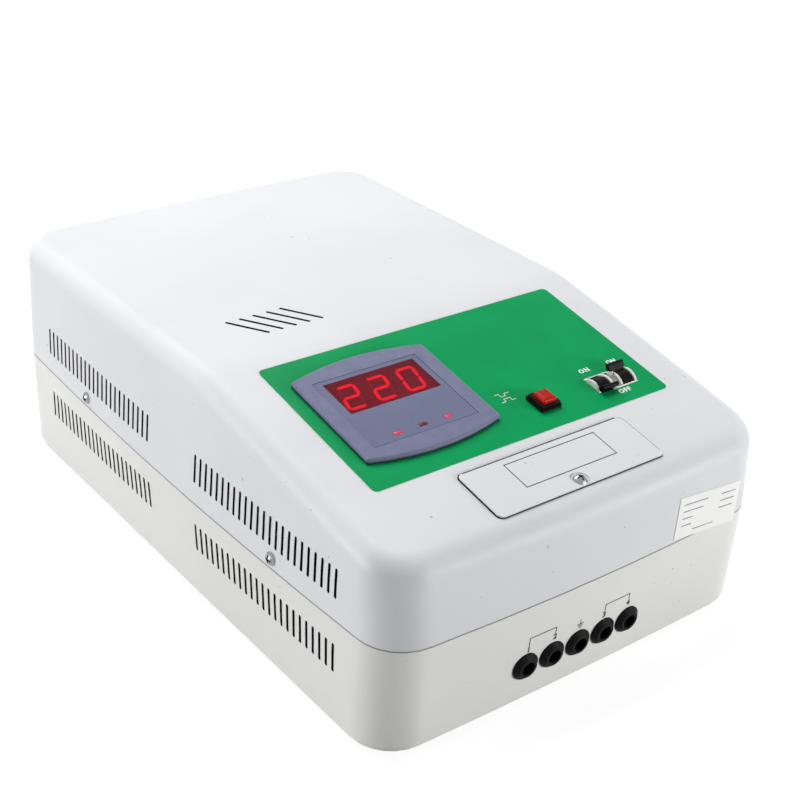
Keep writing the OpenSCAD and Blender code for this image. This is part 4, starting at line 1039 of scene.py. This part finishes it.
class STABILIZER_OT_studio(StabilizerStep, bpy.types.Operator):
    """Set the pale floor, the soft lamps, the world and the camera"""
    bl_idname = "stabilizer.studio"
    bl_label = "Studio"

    def execute(self, context):
        scene = context.scene
        scene.view_settings.view_transform = "Standard"
        drop_all()
        bpy.ops.mesh.primitive_grid_add(
            x_subdivisions=8, y_subdivisions=8, size=FLOOR_SIZE, location=(0, 0, FLOOR_Z))
        floor = settle(context.active_object)
        floor.name = "studio_floor"
        floor.data.materials.append(self.pale("floor_white"))
        for name, place, size, power, warmth in LAMPS:
            bpy.ops.object.light_add(type="AREA", location=place)
            lamp = context.active_object
            lamp.name = name
            lamp.data.shape = "SQUARE"
            lamp.data.size = size
            lamp.data.energy = power
            lamp.data.color = warmth
            facing = (LAMP_AIM - Vector(place)).to_track_quat("-Z", "Y")
            lamp.rotation_euler = facing.to_euler()
        self.world(scene)
        self.camera(scene)
        return {"FINISHED"}

    def seen(self, tree):
        """One where a ray comes from the camera or by gloss or through glass, else zero."""
        path = tree.nodes.new("ShaderNodeLightPath")
        total = path.outputs["Is Camera Ray"]
        for name in ("Is Glossy Ray", "Is Transmission Ray"):
            add = tree.nodes.new("ShaderNodeMath")
            add.operation = "MAXIMUM"
            tree.links.new(total, add.inputs[0])
            tree.links.new(path.outputs[name], add.inputs[1])
            total = add.outputs[0]
        return total

    def pale(self, name):
        """A floor that the camera sees as white where no shadow falls on it."""
        made = Finish(name, specular=0.1)
        made.colour(made.tint([FLOOR_SHADE] * 3, 0.995, 1.005, 3.0)).rough(0.9)
        tree = made.tree
        glow = tree.nodes.new("ShaderNodeEmission")
        times = tree.nodes.new("ShaderNodeMath")
        times.operation = "MULTIPLY"
        times.inputs[1].default_value = FLOOR_GLOW
        tree.links.new(self.seen(tree), times.inputs[0])
        tree.links.new(times.outputs[0], glow.inputs["Strength"])
        both = tree.nodes.new("ShaderNodeAddShader")
        tree.links.new(made.shader.outputs[0], both.inputs[0])
        tree.links.new(glow.outputs[0], both.inputs[1])
        output = next(node for node in tree.nodes if node.type == "OUTPUT_MATERIAL")
        tree.links.new(both.outputs[0], output.inputs["Surface"])
        return made.material

    def world(self, scene):
        world = bpy.data.worlds.new("studio_world")
        world.use_nodes = True
        tree = world.node_tree
        tree.nodes.clear()
        plain, white = (tree.nodes.new("ShaderNodeBackground") for _ in range(2))
        plain.inputs["Color"].default_value = (0.95, 0.97, 1.0, 1.0)
        plain.inputs["Strength"].default_value = WORLD_LIGHT
        white.inputs["Strength"].default_value = 1.0
        white.inputs["Color"].default_value = (1.0, 1.0, 1.0, 1.0)
        mix = tree.nodes.new("ShaderNodeMixShader")
        output = tree.nodes.new("ShaderNodeOutputWorld")
        tree.links.new(self.seen(tree), mix.inputs["Fac"])
        tree.links.new(plain.outputs[0], mix.inputs[1])
        tree.links.new(white.outputs[0], mix.inputs[2])
        tree.links.new(mix.outputs[0], output.inputs["Surface"])
        scene.world = world

    def camera(self, scene):
        bpy.ops.object.camera_add()
        camera = bpy.context.active_object
        camera.name = "photo_camera"
        turn = Matrix(CAMERA_AXES).transposed().to_4x4()
        camera.matrix_world = Matrix.Translation(CAMERA_PLACE) @ turn
        camera.data.sensor_width = CAMERA_SENSOR
        camera.data.lens = CAMERA_LENS
        camera.data.shift_x, camera.data.shift_y = CAMERA_SHIFT
        camera.data.clip_start = 0.01
        scene.camera = camera


STEPS = (
    STABILIZER_OT_studio,
    STABILIZER_OT_shells,
    STABILIZER_OT_fasteners,
    STABILIZER_OT_film,
    STABILIZER_OT_hatch_print,
    STABILIZER_OT_display,
    STABILIZER_OT_button,
    STABILIZER_OT_breakers,
    STABILIZER_OT_grommets,
    STABILIZER_OT_label,
    STABILIZER_OT_inside,
)


class STABILIZER_PT_panel(bpy.types.Panel):
    """Lists the sizes, the colours and the steps"""
    bl_idname = "STABILIZER_PT_panel"
    bl_label = "Voltage Stabilizer"
    bl_space_type = "VIEW_3D"
    bl_region_type = "UI"
    bl_category = "Stabilizer"

    def draw(self, context):
        for group in (context.scene.stabilizer_sizes, context.scene.stabilizer_colours):
            box = self.layout.box()
            for name in group.__annotations__:
                box.prop(group, name)
        for step in STEPS:
            self.layout.operator(step.bl_idname)


CLASSES = (StabilizerSizes, StabilizerColours, *STEPS, STABILIZER_PT_panel)


def register():
    for made in CLASSES:
        bpy.utils.register_class(made)
    bpy.types.Scene.stabilizer_sizes = PointerProperty(type=StabilizerSizes)
    bpy.types.Scene.stabilizer_colours = PointerProperty(type=StabilizerColours)


def unregister():
    del bpy.types.Scene.stabilizer_colours
    del bpy.types.Scene.stabilizer_sizes
    for made in reversed(CLASSES):
        bpy.utils.unregister_class(made)


def main():
    register()
    bpy.ops.stabilizer.studio()
    bpy.ops.stabilizer.shells()
    bpy.ops.stabilizer.fasteners()
    bpy.ops.stabilizer.film()
    bpy.ops.stabilizer.hatch_print()
    bpy.ops.stabilizer.display()
    bpy.ops.stabilizer.button()
    bpy.ops.stabilizer.breakers()
    bpy.ops.stabilizer.grommets()
    bpy.ops.stabilizer.label()
    bpy.ops.stabilizer.inside()
    drop_all()


if __name__ == "__main__":
    main()
